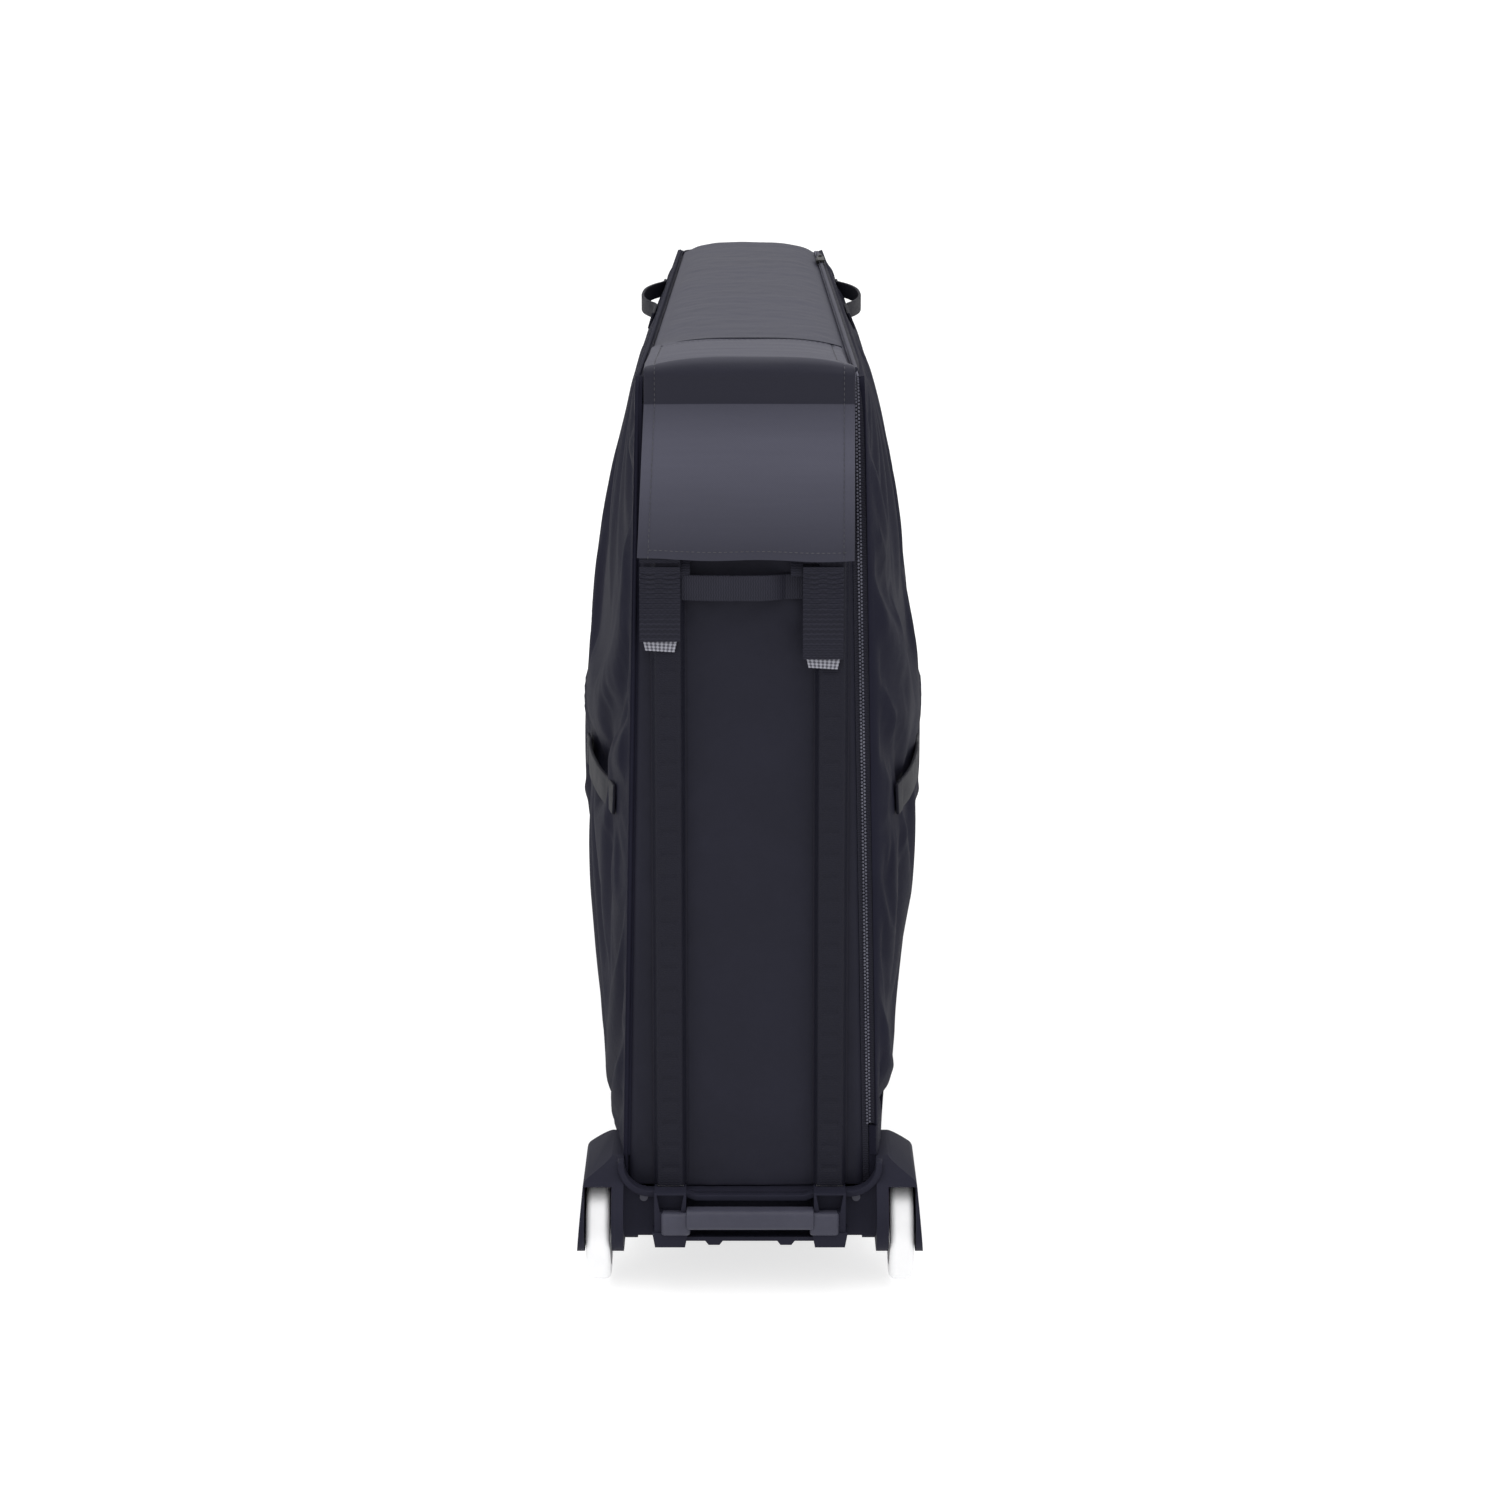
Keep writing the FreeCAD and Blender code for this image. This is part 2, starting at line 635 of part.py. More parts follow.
rail = make_box("right_rail", "skid_inset", skid_out, chassis_front + " + 60",
                foot_along + " - 80", "tray_bottom - skid_depth", "tray_bottom")
rounded = doc.addObject("Part::Chamfer", "right_skid")
rounded.Base = rail
doc.recompute()
low_edges = [
    (number, 3.0, 3.0)
    for number, edge in enumerate(rail.Shape.Edges, start=1)
    if edge.BoundBox.ZMax < value("tray_bottom - skid_depth/2")
]
rounded.Edges = low_edges
keep(join("Compound", "skid_rails", rounded, flip("left_skid", rounded)))

# Front feet carry the front end level with the wheels.
foot_body = doc.addObject("PartDesign::Body", "right_front_foot")
add(foot_body, "XZ_Plane", foot_along + " - 38", foot_along + " + 38", [
    (foot_across + " - 24", "tray_bottom"),
    (foot_across + " - 17", "6"),
    (foot_across + " + 17", "6"),
    (foot_across + " + 24", "tray_bottom"),
])
cut(foot_body, "XZ_Plane", foot_along + " - 33", foot_along + " + 33", [
    (foot_across + " - 18", "tray_bottom - 6"),
    (foot_across + " - 13", "5"),
    (foot_across + " + 13", "5"),
    (foot_across + " + 18", "tray_bottom - 6"),
])
foot_holes = [
    (foot_across, foot_along + shift, "1.9") for shift in (" - 20", " + 20")
]
cut(foot_body, "XY_Plane", "tray_bottom - 7", "tray_bottom", *foot_holes)
keep(join("Compound", "front_feet", foot_body, flip("left_front_foot", foot_body)))
pad_box = make_box("right_pad", foot_across + " - 16", foot_across + " + 16",
                   foot_along + " - 36", foot_along + " + 36", "0", "6")
keep(join("Compound", "front_foot_pads", pad_box, flip("left_pad", pad_box)))
foot_screws = []
for number, (across, along, radius) in enumerate(foot_spots):
    screw = stud("foot_screw_%d" % number, "4", "1.4", "1.8", "tray_wall + 5")
    place(screw, across, along, floor_top)
    foot_screws.append(screw)
keep(join("Compound", "foot_screws", *foot_screws))

keep(make_box("floor_board", "-tray_width/2 + 14", "tray_width/2 - 14",
              wall_front + " + recess_depth + 12", front_face + " - panel_thickness - 4",
              floor_top + " + 5.5", floor_top + " + 5.5 + board_thickness"))
block = new_body("frame_block")
block_low = floor_top + " + 5.5 + board_thickness"
add(block, "XZ_Plane", "-70", "70", [
    ("-45", block_low),
    ("45", block_low),
    ("38", block_low + " + 70", "6"),
    ("20", block_low + " + 70"),
    ("14", block_low + " + 42", "12"),
    ("-14", block_low + " + 42", "12"),
    ("-20", block_low + " + 70"),
    ("-38", block_low + " + 70", "6"),
])

# The bag. Its side outline is a hoop of stations from the rear foot over the top
# to the front foot: (along, up, normal along, normal up, half width, crown).
rim = value("rim_height")
edge = value(edge_up)
crown = value("top_crown")
end_crown = value("panel_crown")
thick = value("panel_thickness")
gap = value("cloth_gap")
strip = value("strip_width")
foot_line = value(panel_foot)
lean = value("rear_lean")
front_line = value(front_face)
big = value("front_radius")
small = value("corner_radius")
foot_half = value("rear_foot_width") / 2
top_half = value("rear_top_width") / 2
nose_half = value("front_top_width") / 2
tilt = math.atan2(lean, edge - rim)


def rear_along(up):
    return foot_line + lean * (up - rim) / (edge - rim)


def rear_half(up):
    return foot_half + (top_half - foot_half) * (up - rim) / (edge - rim)


def front_half(up):
    return foot_half + (nose_half - foot_half) * (up - rim) / (edge - rim)


corner_up = edge - small
corner_along = rear_along(corner_up + small * math.sin(tilt)) + small * math.cos(tilt)
nose_along = front_line - big


def rear_station(up, swell=end_crown):
    return (rear_along(up), up, -math.cos(tilt), math.sin(tilt), rear_half(up), swell)


def corner_stations(steps):
    stations = []
    for step in range(steps + 1):
        angle = math.pi - tilt - (math.pi / 2 - tilt) * step / steps
        up = corner_up + small * math.sin(angle)
        along = corner_along + small * math.cos(angle)
        swell = end_crown + (crown - end_crown) * step / steps
        stations.append((along, up, math.cos(angle), math.sin(angle), rear_half(up), swell))
    return stations


def top_station(along):
    share = (along - corner_along) / (nose_along - corner_along)
    half = top_half + (nose_half - top_half) * share
    return (along, edge, 0.0, 1.0, half, crown)


def nose_stations(steps):
    stations = []
    for step in range(steps + 1):
        angle = math.pi / 2 * (1 - step / steps)
        up = edge - big + big * math.sin(angle)
        along = nose_along + big * math.cos(angle)
        swell = crown + (end_crown - crown) * step / steps
        stations.append((along, up, math.cos(angle), math.sin(angle), front_half(up), swell))
    return stations


def front_station(up):
    return (front_line, up, 1.0, 0.0, front_half(up), end_crown)


def spot(station, across, lift):
    along, up, turn_along, turn_up = station[:4]
    return Vector(across, along + turn_along * lift, up + turn_up * lift)


def panel_section(station, low, high):
    half = station[4]
    swell = station[5]
    upper = Part.Arc(spot(station, -half, high), spot(station, 0, high + swell),
                     spot(station, half, high)).toShape()
    right = Part.LineSegment(spot(station, half, high), spot(station, half, low)).toShape()
    lower = Part.Arc(spot(station, half, low), spot(station, 0, low + swell),
                     spot(station, -half, low)).toShape()
    left = Part.LineSegment(spot(station, -half, low), spot(station, -half, high)).toShape()
    return Part.Wire([upper, right, lower, left])


def strip_section(station, near, far, low, high):
    # A flat section beside the panel edge; near and far are distances past that edge.
    half = station[4]
    sign = 1 if far > 0 else -1
    inner = sign * (half + abs(near))
    outer = sign * (half + abs(far))
    corners = [spot(station, inner, low), spot(station, outer, low),
               spot(station, outer, high), spot(station, inner, high)]
    return Part.makePolygon(corners + corners[:1])


def loft(sections):
    return Part.makeLoft(sections, True, True)


hoop_corner = corner_stations(4)
hoop_nose = nose_stations(6)
rear_stations = [rear_station(value(rim_low) + gap + thick * math.sin(tilt)), hoop_corner[0]]
top_stations = hoop_corner + [hoop_nose[0]]
front_stations = hoop_nose + [front_station(rim + gap)]


def panel(stations, trim_start, trim_end):
    # Leaves a sewing gap at both ends of a run of stations.
    ends = [list(stations[0]), list(stations[-1])]
    for end, trim, sense in ((ends[0], trim_start, 1), (ends[1], trim_end, -1)):
        end[0] += sense * trim * end[3]
        end[1] -= sense * trim * end[2]
    run = [tuple(ends[0])] + list(stations[1:-1]) + [tuple(ends[1])]
    return loft([panel_section(station, -thick, 0) for station in run])


rear_shape = panel(rear_stations, 0, gap)
tongue_in = value(rivet_across) - 6
for side in (-1, 1):
    left = side * tongue_in if side > 0 else -tongue_in - 12
    tongue_rear = value(wall_front) + gap
    tongue = Part.makeBox(12, foot_line + thick - 2 - tongue_rear, 36,
                          Vector(left, tongue_rear, rim - 32))
    rear_shape = rear_shape.fuse(tongue)
    hole = Part.makeCylinder(2.6, 60, Vector(side * value(rivet_across), foot_line - 20,
                                             value(rivet_up)), Vector(0, 1, 0))
    rear_shape = rear_shape.cut(hole)
form("rear_panel", rear_shape.removeSplitter())
form("top_panel", panel(top_stations, gap, gap))
form("front_panel", panel(front_stations, gap, 0))

# Side shells swell like pillows between the hoop and the tray rim.
skin = value("side_thickness")
swell_depth = value("bulge_depth")
swell_up = value("bulge_height")
swell_along = value(rear + " + bulge_reach")


def side_edge(share, up):
    fall = (up - rim) / (edge - rim)
    at_rear = foot_half + (top_half - foot_half) * fall
    at_front = foot_half + (nose_half - foot_half) * fall
    return at_rear + (at_front - at_rear) * share + strip + 1.0


def swell_share(up):
    if up > swell_up:
        ratio = min(1.0, (up - swell_up) / (edge - swell_up))
        return (1 - ratio * ratio) ** 0.75
    ratio = (swell_up - up) / (swell_up - rim)
    return 1 - 0.88 * ratio * ratio


def rear_end(up):
    if up <= corner_up:
        return rear_along(up)
    rise = min(1.0, (up - corner_up) / small)
    return corner_along - small * math.sqrt(1 - rise * rise)


def front_end(up):
    if up <= edge - big:
        return front_line
    rise = min(1.0, (up - edge + big) / big)
    return nose_along + big * math.sqrt(1 - rise * rise)


def side_section(up, level, inset, shift):
    # One level of a side shell: a swollen outer curve closed by a straight chord.
    start = rear_end(level) + inset
    end = front_end(level) - inset
    depth = max(swell_depth * swell_share(level) - shift, 1.0)
    points = []
    for turn_angle in (180, 165, 145, 118, 90, 62, 35, 15, 0):
        ratio = math.cos(math.radians(turn_angle))
        along = swell_along + ratio * ((end - swell_along) if ratio > 0 else (swell_along - start))
        share = (along - start) / (end - start)
        across = side_edge(share, level) + depth * math.sin(math.radians(turn_angle)) ** 1.6
        points.append(Vector(across, along, up))
    inward = Vector(-6.0 if inset else 0.0, 0, 0)
    curve = Part.BSplineCurve()
    curve.interpolate(points)
    wires = [curve.toShape()]
    if inset:
        wires.append(Part.LineSegment(points[-1], points[-1] + inward).toShape())
    wires.append(Part.LineSegment(points[-1] + inward, points[0] + inward).toShape())
    if inset:
        wires.append(Part.LineSegment(points[0] + inward, points[0]).toShape())
    return Part.Wire(wires)


def side_shell(low):
    top = edge - 2.0
    levels = [low + (swell_up - low) * step / 4 for step in range(4)]
    levels += [swell_up + (top - swell_up) * math.sin(math.pi / 2 * step / 7) for step in range(8)]
    outer = Part.makeLoft([side_section(up, up, 0.0, 0.0) for up in levels], True, False)
    inner_top = top - skin
    inner_levels = [low - 4 + (swell_up - low + 4) * step / 4 for step in range(4)]
    inner_levels += [swell_up + (inner_top - swell_up) * math.sin(math.pi / 2 * step / 7)
                     for step in range(8)]
    cavity = []
    for up in inner_levels:
        level = max(up, low)
        if up > swell_up:
            level = swell_up + (up - swell_up) * (top - swell_up) / (inner_top - swell_up)
        cavity.append(side_section(up, level, skin, skin))
    return outer.cut(Part.makeLoft(cavity, True, False))


notch_along = value(chassis_front) + 4
whole = side_shell(rim + gap)
far = 2000.0
fender_notch = Part.makeBox(far, far, value("shoulder_height") + 1,
                            Vector(-far / 2, notch_along - far, 0))
zip_notch = Part.makeBox(far, far, value("notch_height"), Vector(-far / 2, notch_along - far, 0))
gusset_room = Part.makeBox(far, far, value("notch_height - shoulder_height") - 2,
                           Vector(-far / 2, notch_along - 2 - far, value("shoulder_height") + 1))
hem_up = rim + 0.6 + value("cord_radius + cord_play") + 1.6
door_low = hem_up + value("cord_radius") + 6.5
below_door = Part.makeBox(far, far, door_low, Vector(-far / 2, -far / 2, 0))
form("left_side_panel", whole.cut(fender_notch).mirror(Vector(), Vector(1, 0, 0)))
form("right_side_door", whole.cut(below_door).cut(zip_notch))
gusset_run = [rear_station(value("shoulder_height") + 1), rear_station(value("notch_height") - 1)]
gusset_strip = loft([strip_section(station, strip / 2 + 0.3, strip + 1.3, -4, -1)
                     for station in gusset_run])
form("rear_gusset", whole.common(gusset_room).fuse(gusset_strip).removeSplitter())

# Hem cord along the door foot and the rail on the tray rim that holds it.
cord_across = value("tray_width/2 - tray_wall/2") - 1.5
cord_start = value(chassis_front) + 10
cord_end = front_line - 60
cord_run = Vector(0, cord_end - cord_start, 0)
cord = Part.makeCylinder(value("cord_radius"), cord_run.y,
                         Vector(cord_across, cord_start, hem_up), Vector(0, 1, 0))
web_plate = Part.makeBox(2, cord_run.y, door_low - hem_up - gap,
                         Vector(cord_across - 1, cord_start, hem_up))
flange = Part.makeBox(10.5, cord_run.y, 3, Vector(cord_across - 7, cord_start, door_low - gap - 3))
form("door_hem", cord.fuse([web_plate, flange]).removeSplitter())
rail_inner = value("cord_radius + cord_play")
rail_ring = Part.makeCylinder(rail_inner + 1.6, cord_run.y,
                              Vector(cord_across, cord_start, hem_up), Vector(0, 1, 0))
rail_ring = rail_ring.cut(Part.makeCylinder(rail_inner, cord_run.y,
                                            Vector(cord_across, cord_start, hem_up),
                                            Vector(0, 1, 0)))
mouth = Part.makeBox(20, cord_run.y, 20, Vector(cord_across - 1.8, cord_start, hem_up - 2.2))
rail_shape = rail_ring.cut(mouth)
rail_foot = Part.makeBox(5, cord_run.y, hem_up - rail_inner - 0.8 - rim,
                         Vector(cord_across - 2.5, cord_start, rim))
form("hem_rail", rail_shape.fuse(rail_foot).removeSplitter())

# Welt on the left edges and the two halves of the zip on the right edges.
hoop_run = hoop_corner + hoop_nose + [front_station(rim + 16)]
shell_run = [rear_station(rim + 6)] + hoop_run
door_run = [rear_station(value("notch_height"))] + hoop_run


def seam_strip(run, near, far_side, low, high):
    return loft([strip_section(station, near, far_side, low, high) for station in run])


coil = 1.6
coil_inset = 0.5
half_strip = strip / 2
form("left_welt", seam_strip(shell_run, -gap, -strip, -6, -1).fuse(
    seam_strip(shell_run, -gap - 3, -strip + 3, -2, 2.5)).removeSplitter())
tape_low, tape_top, coil_top = -4, -2, -0.6


def zip_half(run, hem, coil_hem, coil_edge, edge_line):
    # One tape with the raised coil beside its inner edge, as one stepped section.
    steps = [(hem, tape_low), (edge_line, tape_low), (edge_line, tape_top), (coil_edge, tape_top),
             (coil_edge, coil_top), (coil_hem, coil_top), (coil_hem, tape_top), (hem, tape_top)]
    sections = []
    for station in run:
        corners = [spot(station, station[4] + past, lift) for past, lift in steps]
        sections.append(Part.makePolygon(corners + corners[:1]))
    return loft(sections)


form("zip_shell_side", zip_half(shell_run, gap, half_strip - coil_inset - coil,
                                half_strip - coil_inset, half_strip - 0.3))
form("zip_door_side", zip_half(door_run, strip, half_strip + coil_inset + coil,
                               half_strip + coil_inset, half_strip + 0.3))

# The slider runs on the straight top edge and carries a hinged pull.
taper = math.atan2(top_half - nose_half, nose_along - corner_along)
slider_station = top_station(nose_along - value("slider_setback"))
slider_spot = Vector(slider_station[4] + half_strip, slider_station[0], edge)
slider = doc.addObject("Part::Box", "slider_plate")
slider.Length = 9
slider.Width = 24
slider.Height = 3
slider.Placement = Placement(Vector(-4.5, -12, -0.2), Rotation())
bridge = doc.addObject("Part::Box", "slider_bridge")
bridge.Length = 3
bridge.Width = 10
bridge.Height = 6
bridge.Placement = Placement(Vector(-1.5, -5, 2), Rotation())
eye = doc.addObject("Part::Cylinder", "slider_eye")
eye.Radius = 1.6
eye.Height = 8
eye.Placement = Placement(Vector(-4, 0, 5.4), Rotation(Vector(0, 1, 0), 90))
slider_block = join("MultiFuse", "slider_block", slider, bridge)
slider_piece = join("Cut", "zip_slider", slider_block, eye)
slider_piece.Placement = Placement(slider_spot, Rotation(Vector(0, 0, 1), math.degrees(taper)))
keep(slider_piece)
pull_shape = Part.makeBox(8, 32, 1.8, Vector(-4, -38.5, -0.9))
pull_arms = Part.makeBox(8, 12, 1.8, Vector(-4, -10, -0.9))
pull_arms = pull_arms.cut(Part.makeBox(4, 14, 4, Vector(-2, -6.5, -2)))
pull_pin = Part.makeCylinder(1.2, 8, Vector(-4, 0, 0), Vector(1, 0, 0))
pull = pull_shape.fuse([pull_arms, pull_pin]).removeSplitter()
pull_piece = form("zip_pull", pull)
pull_spot = slider_piece.Placement.multVec(Vector(0, 0, 5.4))
pull_piece.Placement = Placement(pull_spot, Rotation(Vector(0, 0, 1), math.degrees(taper)))

# Corner guard over the rear top corner; its lower edge stands off the rear panel.
flap = value("flap_thickness")
flap_up = value(flap_low)
guard_run = [(top_station(value(rear + " + flap_reach")), gap)]
guard_run += [(station, gap) for station in reversed(hoop_corner)]
guard_run += [(rear_station(flap_up), value("flap_lift"))]
form("corner_guard", loft([panel_section(station, lift, lift + flap) for station, lift in guard_run]))

# Batten sleeves and battens lean with the rear panel.
bag_rise = "(%s - rim_height)" % edge_up
sleeve_run = "(%s - 1 - rim_height) / cos(atan(rear_lean / %s))" % (flap_low, bag_rise)
leaning = Rotation(Vector(1, 0, 0), -math.degrees(tilt))
for side, sign in (("left", "-"), ("right", "")):
    outside = make_box(side + "_sleeve_outside", "-sleeve_width/2", "sleeve_width/2",
                       "-sleeve_depth", "0", "0", sleeve_run)
    inside = make_box(side + "_sleeve_inside", "-sleeve_width/2 + sleeve_wall",
                      "sleeve_width/2 - sleeve_wall", "sleeve_wall - sleeve_depth",
                      "-sleeve_wall", "-9", sleeve_run + " + 9")
    sleeve = join("Cut", side + "_sleeve", outside, inside)
    batten = make_box(side + "_batten", "-batten_width/2", "batten_width/2",
                      "0", "batten_thickness", "0", sleeve_run + " + 8")
    across = sign + "sleeve_spacing/2"
    sleeve.Placement = Placement(Vector(), leaning)
    place(sleeve, across, sleeve_front, "rim_height")
    batten.Placement = Placement(Vector(), leaning)
    drop = "19"
    slip = "rear_lean / %s * %s" % (bag_rise, drop)
    place(batten, across + " - batten_width/2", "%s - batten_thickness/2 - %s" % (batten_middle, slip),
          "rim_height - " + drop)
    keep(sleeve)
    keep(batten)

# Closing tabs hang from a rolled fold under the guard edge.
fold_up = flap_up - 5
fold_radius = 2.2
sleeve_rear = rear_along(fold_up) - end_crown - gap - value("sleeve_depth")
fold_along = sleeve_rear - fold_radius - gap
tab_half = value("tab_width") / 2
tab_thick = value("tab_thickness")
tip = value("tip_length")
for side, middle, length in (("left", value("-left_tab_across"), value("left_tab_length")),
                             ("right", value("right_tab_across"), value("right_tab_length"))):
    fold = Part.makeCylinder(fold_radius, 2 * tab_half, Vector(-tab_half, 0, 0), Vector(1, 0, 0))
    strap = Part.makeBox(2 * tab_half, tab_thick, length, Vector(-tab_half, -tab_thick / 2, -length))
    bound = Part.makeBox(2 * tab_half - 4, tab_thick, tip,
                         Vector(2 - tab_half, -tab_thick / 2, -length - tip - 0.1))
    where = Placement(Vector(middle, fold_along, fold_up), leaning)
    form(side + "_tab", fold.fuse(strap).removeSplitter()).Placement = where
    form(side + "_tab_tip", bound).Placement = where


sewn = 24.0


def handle_shape(span, room, width):
    # A webbing bridge: two sewn ends and a raised middle, standing off along minus Y.
    web = value("webbing_thickness")
    rise = room + 6.0
    ease = web * math.tan(math.atan2(room, rise) / 2)
    end = span / 2
    under = [(end, 0), (end - sewn, 0), (end - sewn - rise, room)]
    over = [(end - sewn - rise + ease, room + web), (end - sewn + ease, web), (end, web)]
    near = [(-across, off) for across, off in reversed(under)]
    away = [(-across, off) for across, off in reversed(over)]
    loop = under + near + away + over
    outline = [Vector(across, -off, -width / 2) for across, off in loop]
    face = Part.Face(Part.makePolygon(outline + outline[:1]))
    return face.extrude(Vector(0, 0, width))


def side_surface(along, up):
    start = rear_end(up)
    end = front_end(up)
    ratio = (along - swell_along) / ((end if along > swell_along else start) - swell_along)
    swell = swell_depth * swell_share(up) * max(0.0, 1 - ratio * ratio) ** 0.8
    return side_edge((along - start) / (end - start), up) + swell


def side_handle(label, sign, along, up, span, room, width):
    # Lays a handle along a side shell, clear of its swell.
    rear_point = side_surface(along - span / 2, up)
    front_point = side_surface(along + span / 2, up)
    clear = 0.0
    for inward in (0, sewn / 2, sewn):
        for reach in (inward - span / 2, span / 2 - inward):
            chord = rear_point + (front_point - rear_point) * (0.5 + reach / span)
            for level in (up - width / 2, up, up + width / 2):
                clear = max(clear, side_surface(along + reach, level) - chord)
    slant = math.degrees(math.atan2(front_point - rear_point, span))
    across = (rear_point + front_point) / 2 + clear + gap
    piece = form(label, handle_shape(span, room, width))
    piece.Placement = Placement(Vector(sign * across, along, up),
                                Rotation(Vector(0, 0, 1), sign * (90 - slant)))


strap = value("strap_room")
web_width = value("webbing_width")
rear_up = value(flap_low + " - rear_handle_drop")
bridge_span = value("sleeve_spacing - sleeve_width - 3")
rear_handle = form("rear_handle", handle_shape(bridge_span, strap, web_width - 5))


def crown_at(across, half):
    return end_crown * (1 - (across / half) ** 2)


handle_rear = rear_along(rear_up) - crown_at(bridge_span / 2 - sewn, rear_half(rear_up)) - gap
rear_handle.Placement = Placement(Vector(0, handle_rear, rear_up), leaning)
front_handle = form("front_handle", handle_shape(value("front_handle_span"), strap, web_width))
front_up = value("front_handle_height")
front_sewn = value("front_handle_span") / 2 - sewn
handle_front = front_line + crown_at(front_sewn, front_half(front_up)) + gap
front_handle.Placement = Placement(Vector(0, handle_front, front_up), Rotation(Vector(0, 0, 1), 180))
for side, sign in (("left", -1), ("right", 1)):
    side_handle(side + "_side_handle", sign, value(rear + " + side_handle_reach"),
                value("side_handle_height"), value("side_handle_span"),
                value("side_handle_room"), value("side_handle_width"))
    side_handle(side + "_top_handle", sign, value(rear + " + top_handle_reach"),
                value(edge_up + " - top_handle_drop"), value("top_handle_span"),
                value("finger_room"), web_width - 5)

# Wheel pocket walls hang inside the side shells and are open at the top.
wall = value("divider_thickness")


def divider_section(up):
    start = rear_end(up) + skin + 3 * gap
    end = front_end(up) - skin - 3 * gap
    across = [side_edge(0.0, up) - gap, side_edge(1.0, up) - gap]
    corners = [Vector(across[0], start, up), Vector(across[1], end, up),
               Vector(across[1] - wall, end, up), Vector(across[0] - wall, start, up)]
    return Part.makePolygon(corners + corners[:1])


pocket_levels = [rim + 24, edge - big - 40]
pocket_wall = Part.makeLoft([divider_section(up) for up in pocket_levels],
                            True, True)
form("left_pocket_wall", pocket_wall.mirror(Vector(), Vector(1, 0, 0)))
door_notch = Part.makeBox(far, far, value("notch_height") + 6, Vector(-far / 2, notch_along - far, 0))
form("right_pocket_wall", pocket_wall.cut(door_notch))

doc.recompute()
faults = []
for item in doc.Objects:
    if "Invalid" in item.State or "Error" in item.State:
        faults.append("%s: %s" % (item.Label, item.State))
for piece in pieces:
    shape = piece.Shape
    if shape.isNull() or not shape.isValid() or not shape.Solids:
        faults.append("%s has no valid solid" % piece.Label)
if faults:
    raise RuntimeError("; ".join(faults))
for piece in pieces:
    piece.Shape.exportStep("parts/%s.step" % piece.Label)
print("wrote %d pieces" % len(pieces))
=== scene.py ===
import math
from collections import namedtuple

import bpy
import numpy as np
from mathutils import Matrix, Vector, noise


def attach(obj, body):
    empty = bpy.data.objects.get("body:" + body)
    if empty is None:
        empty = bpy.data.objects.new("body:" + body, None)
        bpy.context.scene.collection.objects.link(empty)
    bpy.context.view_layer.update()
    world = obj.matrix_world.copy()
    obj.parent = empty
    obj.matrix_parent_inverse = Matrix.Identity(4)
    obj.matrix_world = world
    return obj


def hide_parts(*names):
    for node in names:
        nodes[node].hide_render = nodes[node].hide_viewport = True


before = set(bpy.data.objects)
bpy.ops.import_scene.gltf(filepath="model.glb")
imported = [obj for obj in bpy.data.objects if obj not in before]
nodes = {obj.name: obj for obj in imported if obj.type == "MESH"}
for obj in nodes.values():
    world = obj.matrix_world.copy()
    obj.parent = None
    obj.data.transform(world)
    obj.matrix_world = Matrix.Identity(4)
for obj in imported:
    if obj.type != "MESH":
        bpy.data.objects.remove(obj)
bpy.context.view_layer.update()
scene = bpy.context.scene
bothSides = (("left", -1), ("right", 1))
sideBodies = {-1: "case", 1: "side_door"}
print("frame loaded with", len(nodes), "nodes")

# Camera, floor and light
shot = {"place": (0, -3.65, 1.263), "pitch": 14.17, "focal": 3455, "picture": 1500, "sensor": 36}
bpy.ops.object.camera_add(location=shot["place"], rotation=(math.radians(90 - shot["pitch"]), 0, 0))
camera = bpy.context.object
camera.data.sensor_width = shot["sensor"]
camera.data.lens = shot["sensor"] * shot["focal"] / shot["picture"]
scene.camera = camera
scene.view_settings.view_transform = "Standard"

studio = {"floor": (0.40, 0.40, 0.40, 1), "horizon": 0.55, "zenith": 1.50, "key": 40, "side": 2,
          "glow": 0.72}
world = bpy.data.worlds.new("studio")
scene.world = world
world.use_nodes = True


def softBox(name, place, aim, size, power):
    bpy.ops.object.light_add(type="AREA", location=place)
    light = bpy.context.object
    light.name = name
    light.data.shape = "RECTANGLE"
    light.data.size, light.data.size_y = size
    light.data.energy = power
    light.rotation_euler = (Vector(aim) - Vector(place)).to_track_quat("-Z", "Y").to_euler()


softBox("keyLight", (0.0, -0.6, 3.4), (0, 0.0, 0), (2.6, 3.2), studio["key"])
for side, sign in bothSides:
    softBox(side + "Light", (sign * 2.6, -1.8, 1.6), (0, -0.3, 0.45), (1.2, 2.0), studio["side"])


def plug(given, socket):
    # links a wire to the socket, or sets the socket's own value
    if isinstance(given, Wire):
        given.tree.links.new(given.socket, socket)
    else:
        socket.default_value = given


